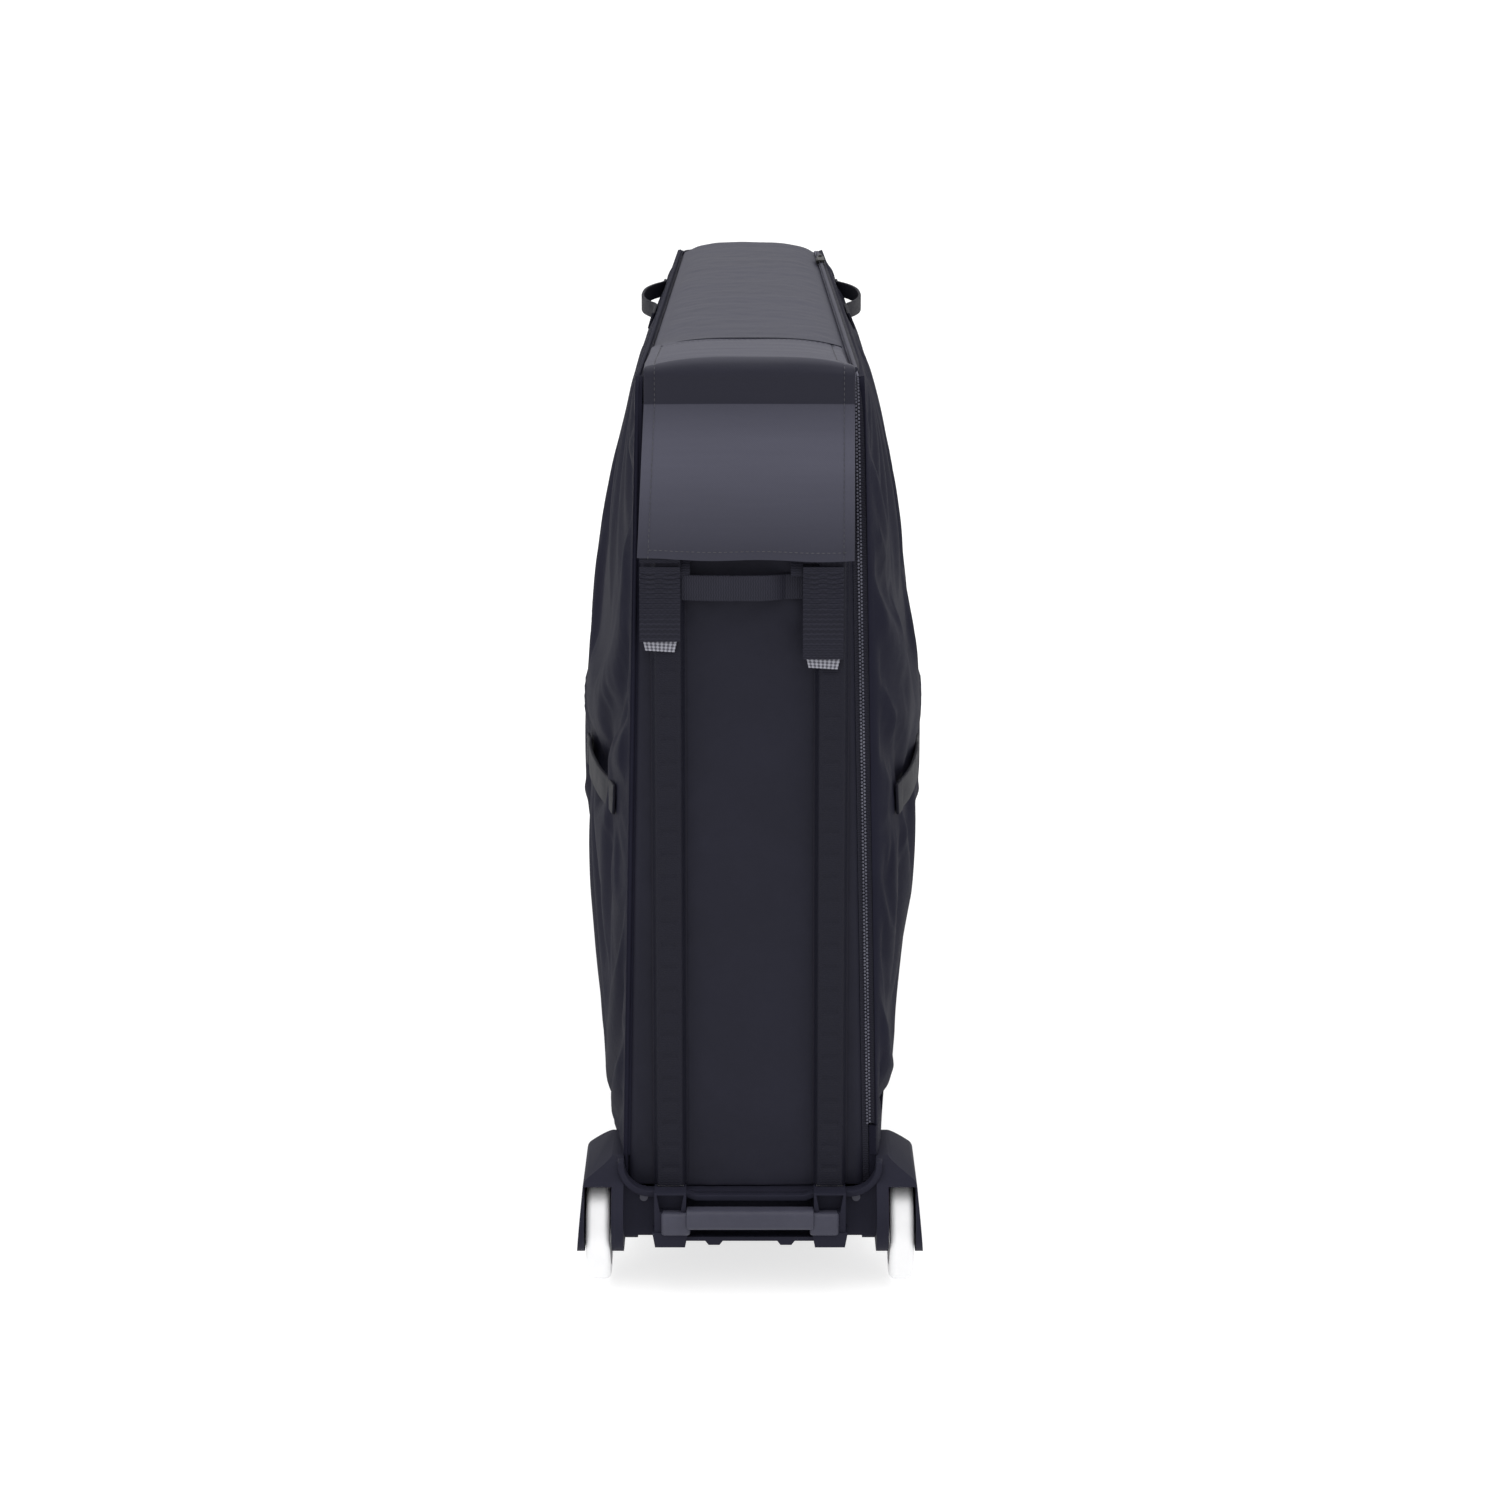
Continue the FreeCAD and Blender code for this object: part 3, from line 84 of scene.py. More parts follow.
# Shader maths: a wire is a socket, and sums on wires add Math nodes
class Wire:
    def __init__(self, tree, socket):
        self.tree = tree
        self.socket = socket

    def node(self, kind, settings=None, inputs=None, output=0):
        made = self.tree.nodes.new(kind)
        for name, setting in (settings or {}).items():
            setattr(made, name, setting)
        for name, given in (inputs or {}).items():
            plug(given, made.inputs[name])
        return Wire(self.tree, made.outputs[output])

    def sum(self, operation, first, second=0.0):
        return self.node("ShaderNodeMath", {"operation": operation}, {0: first, 1: second})

    def __add__(self, other):
        return self.sum("ADD", self, other)

    __radd__ = __add__

    def __sub__(self, other):
        return self.sum("SUBTRACT", self, other)

    def __rsub__(self, other):
        return self.sum("SUBTRACT", other, self)

    def __mul__(self, other):
        return self.sum("MULTIPLY", self, other)

    def __abs__(self):
        return self.sum("ABSOLUTE", self)

    def __mod__(self, other):
        return self.sum("FLOORED_MODULO", self, other)

    def wave(self):
        return self.sum("SINE", self)

    def clipped(self):
        return self.node("ShaderNodeClamp", None, {"Value": self})

    def parts(self):
        return [self.node("ShaderNodeSeparateXYZ", None, {0: self}, side) for side in range(3)]

    def cloud(self, scale, detail=4.0, roughness=0.55, distortion=0.0):
        inputs = {"Vector": self, "Scale": scale, "Detail": detail, "Roughness": roughness,
                  "Distortion": distortion}
        return self.node("ShaderNodeTexNoise", None, inputs)

    def stretched(self, scale):
        return self.node("ShaderNodeMapping", None, {"Vector": self, "Scale": scale})

    def between(self, low, high):
        inputs = {"Value": self, "From Min": low, "From Max": high}
        return self.node("ShaderNodeMapRange", None, inputs)

    def blend(self, first, second):
        # mixes two colours by this wire
        inputs = {0: self, 6: first, 7: second}
        return self.node("ShaderNodeMix", {"data_type": "RGBA"}, inputs, 2)

    def bump(self, strength, distance, below=None):
        inputs = {"Height": self, "Strength": strength, "Distance": distance}
        if below is not None:
            inputs["Normal"] = below
        return self.node("ShaderNodeBump", None, inputs)


# The sky brightens from the horizon to the zenith
sky = world.node_tree
skyPlace = Wire(sky, sky.nodes.new("ShaderNodeTexCoord").outputs["Generated"])
height = skyPlace.parts()[2].clipped()
level = height * (studio["zenith"] - studio["horizon"]) + studio["horizon"]
sky.nodes["Background"].inputs["Color"].default_value = (1, 1, 1, 1)
sky.links.new(level.socket, sky.nodes["Background"].inputs["Strength"])

finishes = {}


def startFinish(name):
    material = bpy.data.materials.new(name)
    material.use_nodes = True
    tree = material.node_tree
    tree.nodes.clear()
    coordinates = tree.nodes.new("ShaderNodeTexCoord")
    shader = tree.nodes.new("ShaderNodeBsdfPrincipled")
    end = tree.nodes.new("ShaderNodeOutputMaterial")
    tree.links.new(shader.outputs[0], end.inputs[0])
    finishes[name] = material
    place = Wire(tree, coordinates.outputs["Object"])
    chart = Wire(tree, coordinates.outputs["UV"])
    return shader, place, chart


def dress(shader, **inputs):
    for name, given in inputs.items():
        plug(given, shader.inputs[name.replace("_", " ")])


def grey(level, blue=1.0):
    return (level, level, level * blue, 1)


def weave(chart, pitch):
    # plain weave on a chart measured in metres
    u, v = chart.parts()[:2]
    turn = 2 * math.pi / pitch
    return (u * turn).wave() * (v * turn).wave()


def clothFinish(name, dark, light, rough, crinkle, pitch=0.0011, gloss=0.2, paintedBand=None):
    shader, place, chart = startFinish(name)
    mottle = place.cloud(9, 5, 0.6)
    fine = place.cloud(160, 2)
    tone = (mottle.between(0.35, 0.68) * 0.75 + fine * 0.25).clipped()
    folds = place.stretched((1, 1, 0.6)).cloud(34, 3, 0.5, 0.6)
    normal = folds.bump(crinkle, 0.004)
    normal = (weave(chart, pitch) * 0.5 + fine * 0.4).bump(0.16, 0.0004, normal)
    colour = tone.blend(dark, light)
    if paintedBand:
        # a lighter satin lower flap, partly its own satin tone and partly a painted highlight of its upward
        # slope, with a painted sheen that is brightest in its middle and darker towards the lower edge and the
        # crease; then a painted shade strip above the crease up to the bend
        along = chart.parts()[1]
        above = along.between(paintedBand["crease"], paintedBand["crease"] + paintedBand["edge"])
        # painted sheen: darker towards the lower edge, brightest across the flap's middle, darker again towards
        # the crease
        paintedSheen = along.between(0.01, 0.085) * 0.85 + 0.15 - along.between(0.105, paintedBand["crease"]) * 0.55
        # painted shade: the strip from the crease up to the bend is painted dark, fading out at the bend
        strip = above * (1 - along.between(paintedBand["end"] - paintedBand["fade"], paintedBand["end"]))
        satinWithPaintedSheen = paintedSheen.blend(paintedBand["satinPaintedSheenDark"], paintedBand["satinPaintedSheenLight"])
        colour = strip.blend((1 - above).blend(colour, satinWithPaintedSheen), paintedBand["strip"])
    dress(shader, Base_Color=colour, Roughness=rough + (mottle - 0.5) * 0.22, Normal=normal,
          Specular_IOR_Level=gloss)


def webFinish(name, dark, light, rib, rough=0.62):
    # ribbed webbing: chart u runs across the strap and v along it
    shader, place, chart = startFinish(name)
    u, v = chart.parts()[:2]
    zigzag = abs((u * (1 / 0.005)) % 1.0 - 0.5) * 0.0016
    ribs = ((v + zigzag) * (2 * math.pi / rib)).wave() * 0.5 + 0.5
    mottle = place.cloud(60, 3)
    tone = (ribs * 0.6 + mottle * 0.4).clipped()
    dress(shader, Base_Color=tone.blend(dark, light), Roughness=rough + (mottle - 0.5) * 0.2,
          Normal=ribs.bump(0.5, 0.0005), Specular_IOR_Level=0.14)


def mouldFinish(name, dark, light, rough, grain=0.12, scale=900, gloss=0.3):
    # moulded plastic with a fine spark grain and a little handling wear
    shader, place = startFinish(name)[:2]
    specks = place.cloud(scale, 2, 0.6)
    wear = place.cloud(18, 6, 0.65)
    tone = (wear.between(0.38, 0.7) * 0.8 + specks * 0.2).clipped()
    dress(shader, Base_Color=tone.blend(dark, light), Roughness=rough + (wear - 0.5) * 0.2,
          Normal=specks.bump(grain, 0.0003), Specular_IOR_Level=gloss)


def metalFinish(name, dark, light, rough, metallic=1.0):
    shader, place = startFinish(name)[:2]
    brushed = place.stretched((60, 2000, 2000)).cloud(1, 3)
    haze = place.cloud(40, 4)
    dress(shader, Base_Color=haze.blend(dark, light), Roughness=rough + (haze - 0.5) * 0.15,
          Normal=brushed.bump(0.08, 0.0001), Metallic=metallic)


clothFinish("caseCloth", grey(0.0112, 1.75), grey(0.0152, 1.7), 0.60, 0.14, 0.0011, 0.14)
clothFinish("sideCloth", grey(0.0118, 1.75), grey(0.0152, 1.7), 0.66, 0.16, 0.0011, 0.03)
clothFinish("topCloth", grey(0.036, 1.42), grey(0.045, 1.4), 0.60, 0.05, 0.0016, 0.14)
# the guard's painted light: a painted shade strip above the crease, and a painted sheen on the satin flap below
# it
guardPaintedBand = {"crease": 0.1385, "edge": 0.0006, "end": 0.1825, "fade": 0.012, "strip": grey(0.0165, 1.6),
             "satinPaintedSheenDark": grey(0.030, 1.45), "satinPaintedSheenLight": grey(0.068, 1.36)}
clothFinish("guardCloth", grey(0.047, 1.38), grey(0.056, 1.36), 0.56, 0.04, 0.0016, 0.14, guardPaintedBand)
clothFinish("liningCloth", grey(0.080, 1.08), grey(0.096, 1.08), 0.75, 0.08, 0.002)
clothFinish("foamCloth", grey(0.03, 1.05), grey(0.05, 1.05), 0.85, 0.05, 0.003)
webFinish("webbing", grey(0.0078, 1.7), grey(0.020, 1.6), 0.0022)
webFinish("sleeveWebbing", grey(0.0074, 1.8), grey(0.0130, 1.7), 0.0016, 0.58)
webFinish("handleWebbing", grey(0.0113, 1.6), grey(0.026, 1.5), 0.0022)
webFinish("loopWebbing", grey(0.0034, 1.9), grey(0.0085, 1.9), 0.0022)
mouldFinish("chassisPlastic", grey(0.0145, 1.7), grey(0.0190, 1.65), 0.66, 0.12, 900, 0.09)
mouldFinish("gripPlastic", grey(0.044, 1.45), grey(0.058, 1.4), 0.50, 0.12, 900, 0.2)
mouldFinish("wheelTread", grey(0.88, 1.01), grey(0.94, 1.01), 0.42, 0.05, 500)
mouldFinish("hubPlastic", grey(0.55), grey(0.66), 0.45)
mouldFinish("padRubber", grey(0.012), grey(0.022), 0.75, 0.2)
mouldFinish("boardPlastic", grey(0.05, 1.05), grey(0.075, 1.05), 0.55)
mouldFinish("zipCoil", grey(0.080, 1.35), grey(0.150, 1.25), 0.55, 0.1, 1500, 0.2)
mouldFinish("stitchThread", grey(0.045, 1.2), grey(0.085, 1.15), 0.6, 0.2, 2500)
mouldFinish("rivetPaint", grey(0.040, 1.45), grey(0.060, 1.4), 0.5, 0.1, 1500)


def tipFinish(name, dark, light):
    # block weave: bright picks in short rows, with darker gaps between them
    shader, chart = startFinish(name)[::2]
    u, v = chart.parts()[:2]
    across = (u * (2 * math.pi / 0.0042)).wave() * 0.5 + 0.5
    along = (v * (2 * math.pi / 0.0030)).wave() * 0.5 + 0.5
    picks = (across * 0.55 + along * 0.45).between(0.25, 0.75)
    dress(shader, Base_Color=picks.blend(dark, light), Roughness=0.6 + (picks - 0.5) * 0.1,
          Normal=picks.bump(0.4, 0.0006), Specular_IOR_Level=0.25)


tipFinish("tipWebbing", grey(0.060, 1.25), grey(0.30, 1.15))
metalFinish("plainSteel", grey(0.45), grey(0.60), 0.35)
metalFinish("blackSteel", grey(0.006), grey(0.011), 0.55, 0.0)
metalFinish("battenMetal", grey(0.52), grey(0.64), 0.4)
metalFinish("railMetal", grey(0.03), grey(0.05), 0.45, 0.8)

nodeFinishes = {
    "chassisPlastic": ("rear_chassis", "base_tray", "skid_rails", "front_feet"),
    "gripPlastic": ("rear_grip_bar",), "rivetPaint": ("chassis_rivets",),
    "plainSteel": ("chassis_screws", "wheel_bolts", "axle_spacers", "left_bearings", "right_bearings",
                   "foot_screws"),
    "wheelTread": ("left_tyre", "right_tyre"), "hubPlastic": ("left_hub", "right_hub"),
    "padRubber": ("front_foot_pads",), "boardPlastic": ("floor_board",), "railMetal": ("hem_rail",),
    "battenMetal": ("left_batten", "right_batten"), "blackSteel": ("zip_slider", "zip_pull"),
}
for finishName, nodeNames in nodeFinishes.items():
    for nodeName in nodeNames:
        nodes[nodeName].data.materials.clear()
        nodes[nodeName].data.materials.append(finishes[finishName])

bpy.ops.object.select_all(action="DESELECT")
bpy.ops.mesh.primitive_plane_add(size=600)
floor = bpy.context.object
floor.name = "studioFloor"
dress(startFinish("floorPaint")[0], Base_Color=studio["floor"], Roughness=0.9, Specular_IOR_Level=0.0,
      Emission_Color=(1, 1, 1, 1), Emission_Strength=studio["glow"])
floor.data.materials.append(finishes["floorPaint"])
print("camera, light and finishes made")


# Helpers for modelling
def activate(piece):
    if bpy.context.object and bpy.context.object.mode != "OBJECT":
        bpy.ops.object.mode_set(mode="OBJECT")
    bpy.ops.object.select_all(action="DESELECT")
    piece.select_set(True)
    bpy.context.view_layer.objects.active = piece


def openMesh(piece):
    # edit mode, with everything selected
    activate(piece)
    bpy.ops.object.mode_set(mode="EDIT")
    bpy.ops.mesh.select_all(action="SELECT")


def closeMesh():
    bpy.ops.object.mode_set(mode="OBJECT")


def modify(piece, kind, **settings):
    activate(piece)
    bpy.ops.object.modifier_add(type=kind)
    modifier = piece.modifiers[-1]
    for name, setting in settings.items():
        setattr(modifier, name, setting)
    bpy.ops.object.modifier_apply(modifier=modifier.name)


def newBox(name, size, place):
    bpy.ops.object.select_all(action="DESELECT")
    bpy.ops.mesh.primitive_cube_add(size=1)
    box = bpy.context.object
    box.name = name
    box.scale = size
    box.location = place
    bpy.ops.object.transform_apply(location=True, rotation=False, scale=True)
    return box


def clothGrid(name, columns, rows, size, shape, chartShape=None):
    # a grid whose points are laid by shape(u, v), with a chart in metres
    bpy.ops.object.select_all(action="DESELECT")
    bpy.ops.mesh.primitive_grid_add(x_subdivisions=columns, y_subdivisions=rows, size=1)
    piece = bpy.context.object
    piece.name = name
    mesh = piece.data
    chart = mesh.uv_layers.active.data
    spots = [(corner.co.x + 0.5, corner.co.y + 0.5) for corner in mesh.vertices]
    for loop in mesh.loops:
        u, v = spots[loop.vertex_index]
        chart[loop.index].uv = chartShape(u, v) if chartShape else (u * size[0], v * size[1])
    for corner, (u, v) in zip(mesh.vertices, spots):
        corner.co = shape(u, v)
    return piece


def finishPiece(piece, body, finishName, replaced=(), angle=40):
    if finishName:
        piece.data.materials.append(finishes[finishName])
    activate(piece)
    bpy.ops.object.shade_smooth_by_angle(angle=math.radians(angle))
    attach(piece, body)
    if replaced:
        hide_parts(*replaced)
    return piece


def sewPiece(piece, thickness, body, finishName, replaced=(), angle=40, offset=-1):
    # gives one layer of cloth or webbing its thickness and finish
    modify(piece, "SOLIDIFY", thickness=thickness, offset=offset)
    return finishPiece(piece, body, finishName, replaced, angle)


def linePiece(piece, thickness, body, finishName, replaced, angle):
    # gives a padded cloth its thickness, with lining on the inner face
    piece.data.materials.append(finishes[finishName])
    piece.data.materials.append(finishes["liningCloth"])
    modify(piece, "SOLIDIFY", thickness=thickness, offset=-1, material_offset=1, material_offset_rim=0)
    finishPiece(piece, body, None, replaced, angle)


def repeatSeed(name, seed, stations, body, finishName, angle):
    # copies a modelled seed to every station, which is a place and three axes
    spots = [corner.co.copy() for corner in seed.data.vertices]
    sides = [tuple(face.vertices) for face in seed.data.polygons]
    bpy.ops.object.delete()
    points, faces = [], []
    for place, first, second, third in stations:
        start = len(points)
        points += [place + first * spot.x + second * spot.y + third * spot.z for spot in spots]
        faces += [tuple(start + number for number in face) for face in sides]
    mesh = bpy.data.meshes.new(name)
    mesh.from_pydata(points, [], faces)
    row = bpy.data.objects.new(name, mesh)
    scene.collection.objects.link(row)
    finishPiece(row, body, finishName, (), angle)


def wrinkle(spot, scale, seed):
    return noise.noise(Vector(spot) * scale + Vector((seed, seed * 1.7, -seed)))


def mixed(first, last, share):
    return first + (last - first) * share


def eased(low, high, amount):
    share = min(1.0, max(0.0, (amount - low) / (high - low)))
    return share * share * (3 - 2 * share)


# The bag's form: its side outline is a hoop from the rear foot over the top to the front foot
bag = {
    "lowUp": 0.0955, "rimUp": 0.1, "edgeUp": 0.838, "footLine": -0.659, "lean": 0.037,
    "frontLine": 0.68, "cornerRadius": 0.025, "noseRadius": 0.25,
    "footHalf": 0.104, "topHalf": 0.088, "noseHalf": 0.072,
    "topCrown": 0.0086, "endCrown": 0.003, "strip": 0.012,
    "bulgeUp": 0.45, "bulgeAlong": -0.3,
}
bagRise = bag["edgeUp"] - bag["rimUp"]
tilt = math.atan2(bag["lean"], bagRise)


def rearAlong(up):
    return bag["footLine"] + bag["lean"] * (up - bag["rimUp"]) / bagRise


def rearHalf(up):
    return mixed(bag["footHalf"], bag["topHalf"], (up - bag["rimUp"]) / bagRise)


def frontHalf(up):
    return mixed(bag["footHalf"], bag["noseHalf"], (up - bag["rimUp"]) / bagRise)


cornerUp = bag["edgeUp"] - bag["cornerRadius"]
cornerStart = cornerUp + bag["cornerRadius"] * math.sin(tilt)
cornerAlong = rearAlong(cornerStart) + bag["cornerRadius"] * math.cos(tilt)
noseAlong = bag["frontLine"] - bag["noseRadius"]
rearRun = (cornerStart - bag["lowUp"]) / math.cos(tilt)
cornerRun = bag["cornerRadius"] * (math.pi / 2 - tilt)
topRun = noseAlong - cornerAlong
noseRun = bag["noseRadius"] * math.pi / 2
frontRun = bag["edgeUp"] - bag["noseRadius"] - bag["rimUp"]
cornerEnd = rearRun + cornerRun
noseStart = cornerEnd + topRun
noseEnd = noseStart + noseRun
hoopRun = noseEnd + frontRun
hoopStop = namedtuple("hoopStop", "along up outAlong outUp half crown")


def hoopAt(distance):
    # the hoop's place, outward way, half width and crown at a distance from the rear foot
    if distance <= rearRun:
        up = bag["lowUp"] + distance * math.cos(tilt)
        return hoopStop(rearAlong(up), up, -math.cos(tilt), math.sin(tilt), rearHalf(up), bag["endCrown"])
    if distance <= cornerEnd:
        share = (distance - rearRun) / cornerRun
        angle = math.pi - tilt - (math.pi / 2 - tilt) * share
        along = cornerAlong + bag["cornerRadius"] * math.cos(angle)
        up = cornerUp + bag["cornerRadius"] * math.sin(angle)
        crown = mixed(bag["endCrown"], bag["topCrown"], share)
        return hoopStop(along, up, math.cos(angle), math.sin(angle), rearHalf(up), crown)
    if distance <= noseStart:
        along = cornerAlong + distance - cornerEnd
        half = mixed(bag["topHalf"], bag["noseHalf"], (distance - cornerEnd) / topRun)
        return hoopStop(along, bag["edgeUp"], 0.0, 1.0, half, bag["topCrown"])
    if distance <= noseEnd:
        share = (distance - noseStart) / noseRun
        angle = math.pi / 2 * (1 - share)
        along = noseAlong + bag["noseRadius"] * math.cos(angle)
        up = bag["edgeUp"] - bag["noseRadius"] * (1 - math.sin(angle))
        crown = mixed(bag["topCrown"], bag["endCrown"], share)
        return hoopStop(along, up, math.cos(angle), math.sin(angle), frontHalf(up), crown)
    up = bag["edgeUp"] - bag["noseRadius"] - (distance - noseEnd)
    return hoopStop(bag["frontLine"], up, 1.0, 0.0, frontHalf(up), bag["endCrown"])


def laid(stop, across, lift):
    return Vector((across, stop.along + stop.outAlong * lift, stop.up + stop.outUp * lift))


def crownLift(stop, across, arch=2.0):
    return stop.crown * (1 - min(1.0, abs(across) / stop.half) ** arch)


def rolledEdge(room, width, depth):
    # how far a panel drops where it rolls into a seam, by the room left to the seam
    if room >= width:
        return 0.0
    return depth * (1 - math.sqrt(max(0.0, 1 - (1 - room / width) ** 2)))


def distanceAt(up):
    return (up - bag["lowUp"]) / math.cos(tilt)


# End and top panels
panelCloth = {"arch": 3.2, "thickness": 0.0105, "roll": 0.008, "rollDepth": 0.005, "fold": 0.0021,
              "topFold": 0.00147, "edges": (0.0085, 0.001), "topEdges": (0.0065, 0.0045), "puff": 0.0018,
              "gap": 0.0005}


def hoopPanel(name, start, end, columns, rows, finishName, node, fold, edges, puff=0.0, arch=2.0):
    def shape(u, v):
        distance = mixed(start, end, v)
        stop = hoopAt(distance)
        left, right = stop.half + edges[0], stop.half + edges[1]
        across = (left + right) * u - left
        room = min(across + left, right - across)
        lift = crownLift(stop, across, arch) + puff * (1 - min(1.0, abs(across) / stop.half) ** 6)
        lift -= rolledEdge(room, panelCloth["roll"], panelCloth["rollDepth"])
        broad = wrinkle((across * 0.45, distance, 0), 28, 3.1)
        ripple = broad * 0.6 + wrinkle((across, distance, 0), 60, 7.7) * 0.4
        lift += fold * ripple * eased(0, 0.02, room)
        return laid(stop, across, lift)

    piece = clothGrid(name, columns, rows, (0.2, end - start), shape)
    linePiece(piece, panelCloth["thickness"], "case", finishName, (node,), 50)


panelGap = panelCloth["gap"]
hoopPanel("rearPanelCloth", 0.0, rearRun - panelGap, 96, 240, "caseCloth", "rear_panel",
          panelCloth["fold"], panelCloth["edges"])
hoopPanel("topPanelCloth", rearRun + panelGap, noseStart - panelGap, 84, 300, "topCloth", "top_panel",
          panelCloth["topFold"], panelCloth["topEdges"], panelCloth["puff"], panelCloth["arch"])
hoopPanel("frontPanelCloth", noseStart + panelGap, hoopRun - 2 * panelGap, 84, 240, "caseCloth",
          "front_panel", panelCloth["fold"], panelCloth["edges"])
print("end and top panels made")

# Corner guard: from its top seam round the rear corner to a free lower edge
guard = {"seamAlong": -0.46, "lowUp": 0.677, "creaseUp": 0.8135, "flare": 0.016, "stand": 0.0040,
         "bend": 0.0090, "undercut": 4, "topUp": 0.8418, "cornerLift": 0.0040, "thickness": 0.0024,
         "left": (0.0936, 0.0063), "right": (0.0925, 0.0), "beside": (0.0056, 0.0045),
         "zipRoom": 0.0055, "zipAlong": (-0.618, -0.584), "hem": 0.0095, "groove": 0.0007,
         "columns": 150, "fallRows": 70, "bandRows": 8, "bendRows": 24, "topRows": 60, "archRows": (80, 102)}
guardPull = {"across": 0.046, "drift": 0.022, "width": 0.007, "height": 0.0014, "reach": (0.60, 0.9)}


def guardLine():
    # the guard's section from its lower edge up to its top seam: along, up, facing angle and crown
    line = []
    for step in range(guard["fallRows"] + 1):
        fall = 1 - step / guard["fallRows"]
        up = mixed(guard["creaseUp"], guard["lowUp"], fall)
        out = guard["stand"] + guard["flare"] * (1 - (1 - fall) ** 2)
        lean = 2 * guard["flare"] * (1 - fall) / (guard["creaseUp"] - guard["lowUp"])
        line.append((rearAlong(up) - out, up, math.pi - tilt - math.atan(lean), bag["endCrown"]))
    undercut = math.pi + math.radians(guard["undercut"])
    creaseAlong = line[-1][0]
    middleUp = guard["topUp"] + guard["cornerLift"] - guard["bend"]
    bandTop = middleUp + guard["bend"] * math.sin(undercut)
    bandAlong = creaseAlong - (bandTop - guard["creaseUp"]) * math.tan(math.radians(guard["undercut"]))
    for step in range(1, guard["bandRows"]):
        share = step / guard["bandRows"]
        up = mixed(guard["creaseUp"], bandTop, share)
        line.append((mixed(creaseAlong, bandAlong, share), up, undercut, bag["endCrown"]))
    middleAlong = bandAlong - guard["bend"] * math.cos(undercut)
    for step in range(guard["bendRows"] + 1):
        share = step / guard["bendRows"]
        angle = mixed(undercut, math.pi / 2, share)
        along = middleAlong + guard["bend"] * math.cos(angle)
        up = middleUp + guard["bend"] * math.sin(angle)
        line.append((along, up, angle, mixed(bag["endCrown"], bag["topCrown"], share)))
    for step in range(1, guard["topRows"] + 1):
        along = mixed(middleAlong, guard["seamAlong"], step / guard["topRows"])
        up = guard["topUp"] + guard["cornerLift"] * (1 - eased(middleAlong, guard["seamAlong"], along))
        line.append((along, up, math.pi / 2, bag["topCrown"]))
    return line


guardStops = guardLine()
guardWay = [0.0]
for first, second in zip(guardStops, guardStops[1:]):
    guardWay.append(guardWay[-1] + math.dist(first[:2], second[:2]))
guardRun = guardWay[-1]
creaseWay = guardWay[guard["fallRows"]]
print("guard crease at", round(creaseWay, 4), "of", round(guardRun, 4))


def guardHalf(along, up, sign):
    if up > cornerUp + 0.002:
        half = mixed(bag["topHalf"], bag["noseHalf"], max(0.0, (along - cornerAlong) / topRun))
        clear = 0.0 if sign < 0 else guard["zipRoom"] * eased(*guard["zipAlong"], along)
        return half + guard["beside"][0 if sign < 0 else 1] - clear
    fall = (guard["creaseUp"] - up) / (guard["creaseUp"] - guard["lowUp"])
    first, widen = guard["left" if sign < 0 else "right"]
    return first + widen * max(0.0, fall)


def guardSpot(row, across, sink=0.0):
    along, up, turn, crown = guardStops[row]
    way = guardWay[row]
    archStart, archEnd = (guardWay[number] for number in guard["archRows"])
    arch = mixed(2, panelCloth["arch"], eased(archStart, archEnd, way))
    lift = crown * (1 - min(1.0, abs(across / guardHalf(along, up, across))) ** arch) - sink
    # a soft pull runs slantwise down to the lower edge
    fall = eased(creaseWay, 0.0, way)
    away = (across + guardPull["across"] + guardPull["drift"] * fall) / guardPull["width"]
    lift += guardPull["height"] * math.exp(-away * away) * eased(*guardPull["reach"], fall)
    lift += 0.0009 * wrinkle((across * 0.5, way * 1.6, 0), 26, 5.3)
    lift += 0.0003 * wrinkle((across * 0.3, way * 4, 0), 60, 2.9)
    return Vector((across, along + math.cos(turn) * lift, up + math.sin(turn) * lift))


def guardHem(row, across):
    # the lower edge runs a little down to the right, with small waves
    wave = 0.0024 - 0.012 * (across + 0.08) + 0.0008 * math.sin(across * 62 + 0.8)
    return wave * eased(0.8, 1.0, 1 - guardWay[row] / creaseWay)


def guardRow(v):
    return round(v * (len(guardStops) - 1))


def guardPoint(u, v):
    row = guardRow(v)
    along, up = guardStops[row][:2]
    left, right = guardHalf(along, up, -1), guardHalf(along, up, 1)
    across = (left + right) * u - left
    room = min(across + left, right - across)
    sink = guard["groove"] * math.exp(-(((room - guard["hem"]) / 0.0013) ** 2))
    sink += rolledEdge(room, 0.0022, 0.0014)
    spot = guardSpot(row, across, sink)
    spot.z += guardHem(row, across)
    return spot


def guardChart(u, v):
    return u * 0.19, guardWay[guardRow(v)]


guardPiece = clothGrid("cornerGuardCloth", guard["columns"], len(guardStops) - 1, (0.19, guardRun),
                       guardPoint, guardChart)
sewPiece(guardPiece, guard["thickness"], "case", "guardCloth", ("corner_guard",), 50)

# Bound seam where the guard meets the top panel; its dark webbing is partly the binding's own colour and partly
# painted shade for the gap along the seam
seam = {"start": -0.004, "width": 0.007, "inset": 0.001, "lift": 0.0046, "drop": 0.0026, "thickness": 0.0009}


def seamPoint(u, v):
    stop = hoopAt(cornerEnd + guard["seamAlong"] + seam["start"] + seam["width"] * v - cornerAlong)
    across = (u - 0.5) * 2 * (stop.half - seam["inset"])
    lift = seam["lift"] - seam["drop"] * eased(0.5, 1.0, v)
    return laid(stop, across, crownLift(stop, across, panelCloth["arch"]) + lift)


seamTape = clothGrid("guardSeamTape", 72, 6, (0.17, seam["width"]), seamPoint)
# the tape's dark webbing also serves as painted shade along the seam's gap
sewPiece(seamTape, seam["thickness"], "case", "webbing", (), 60)

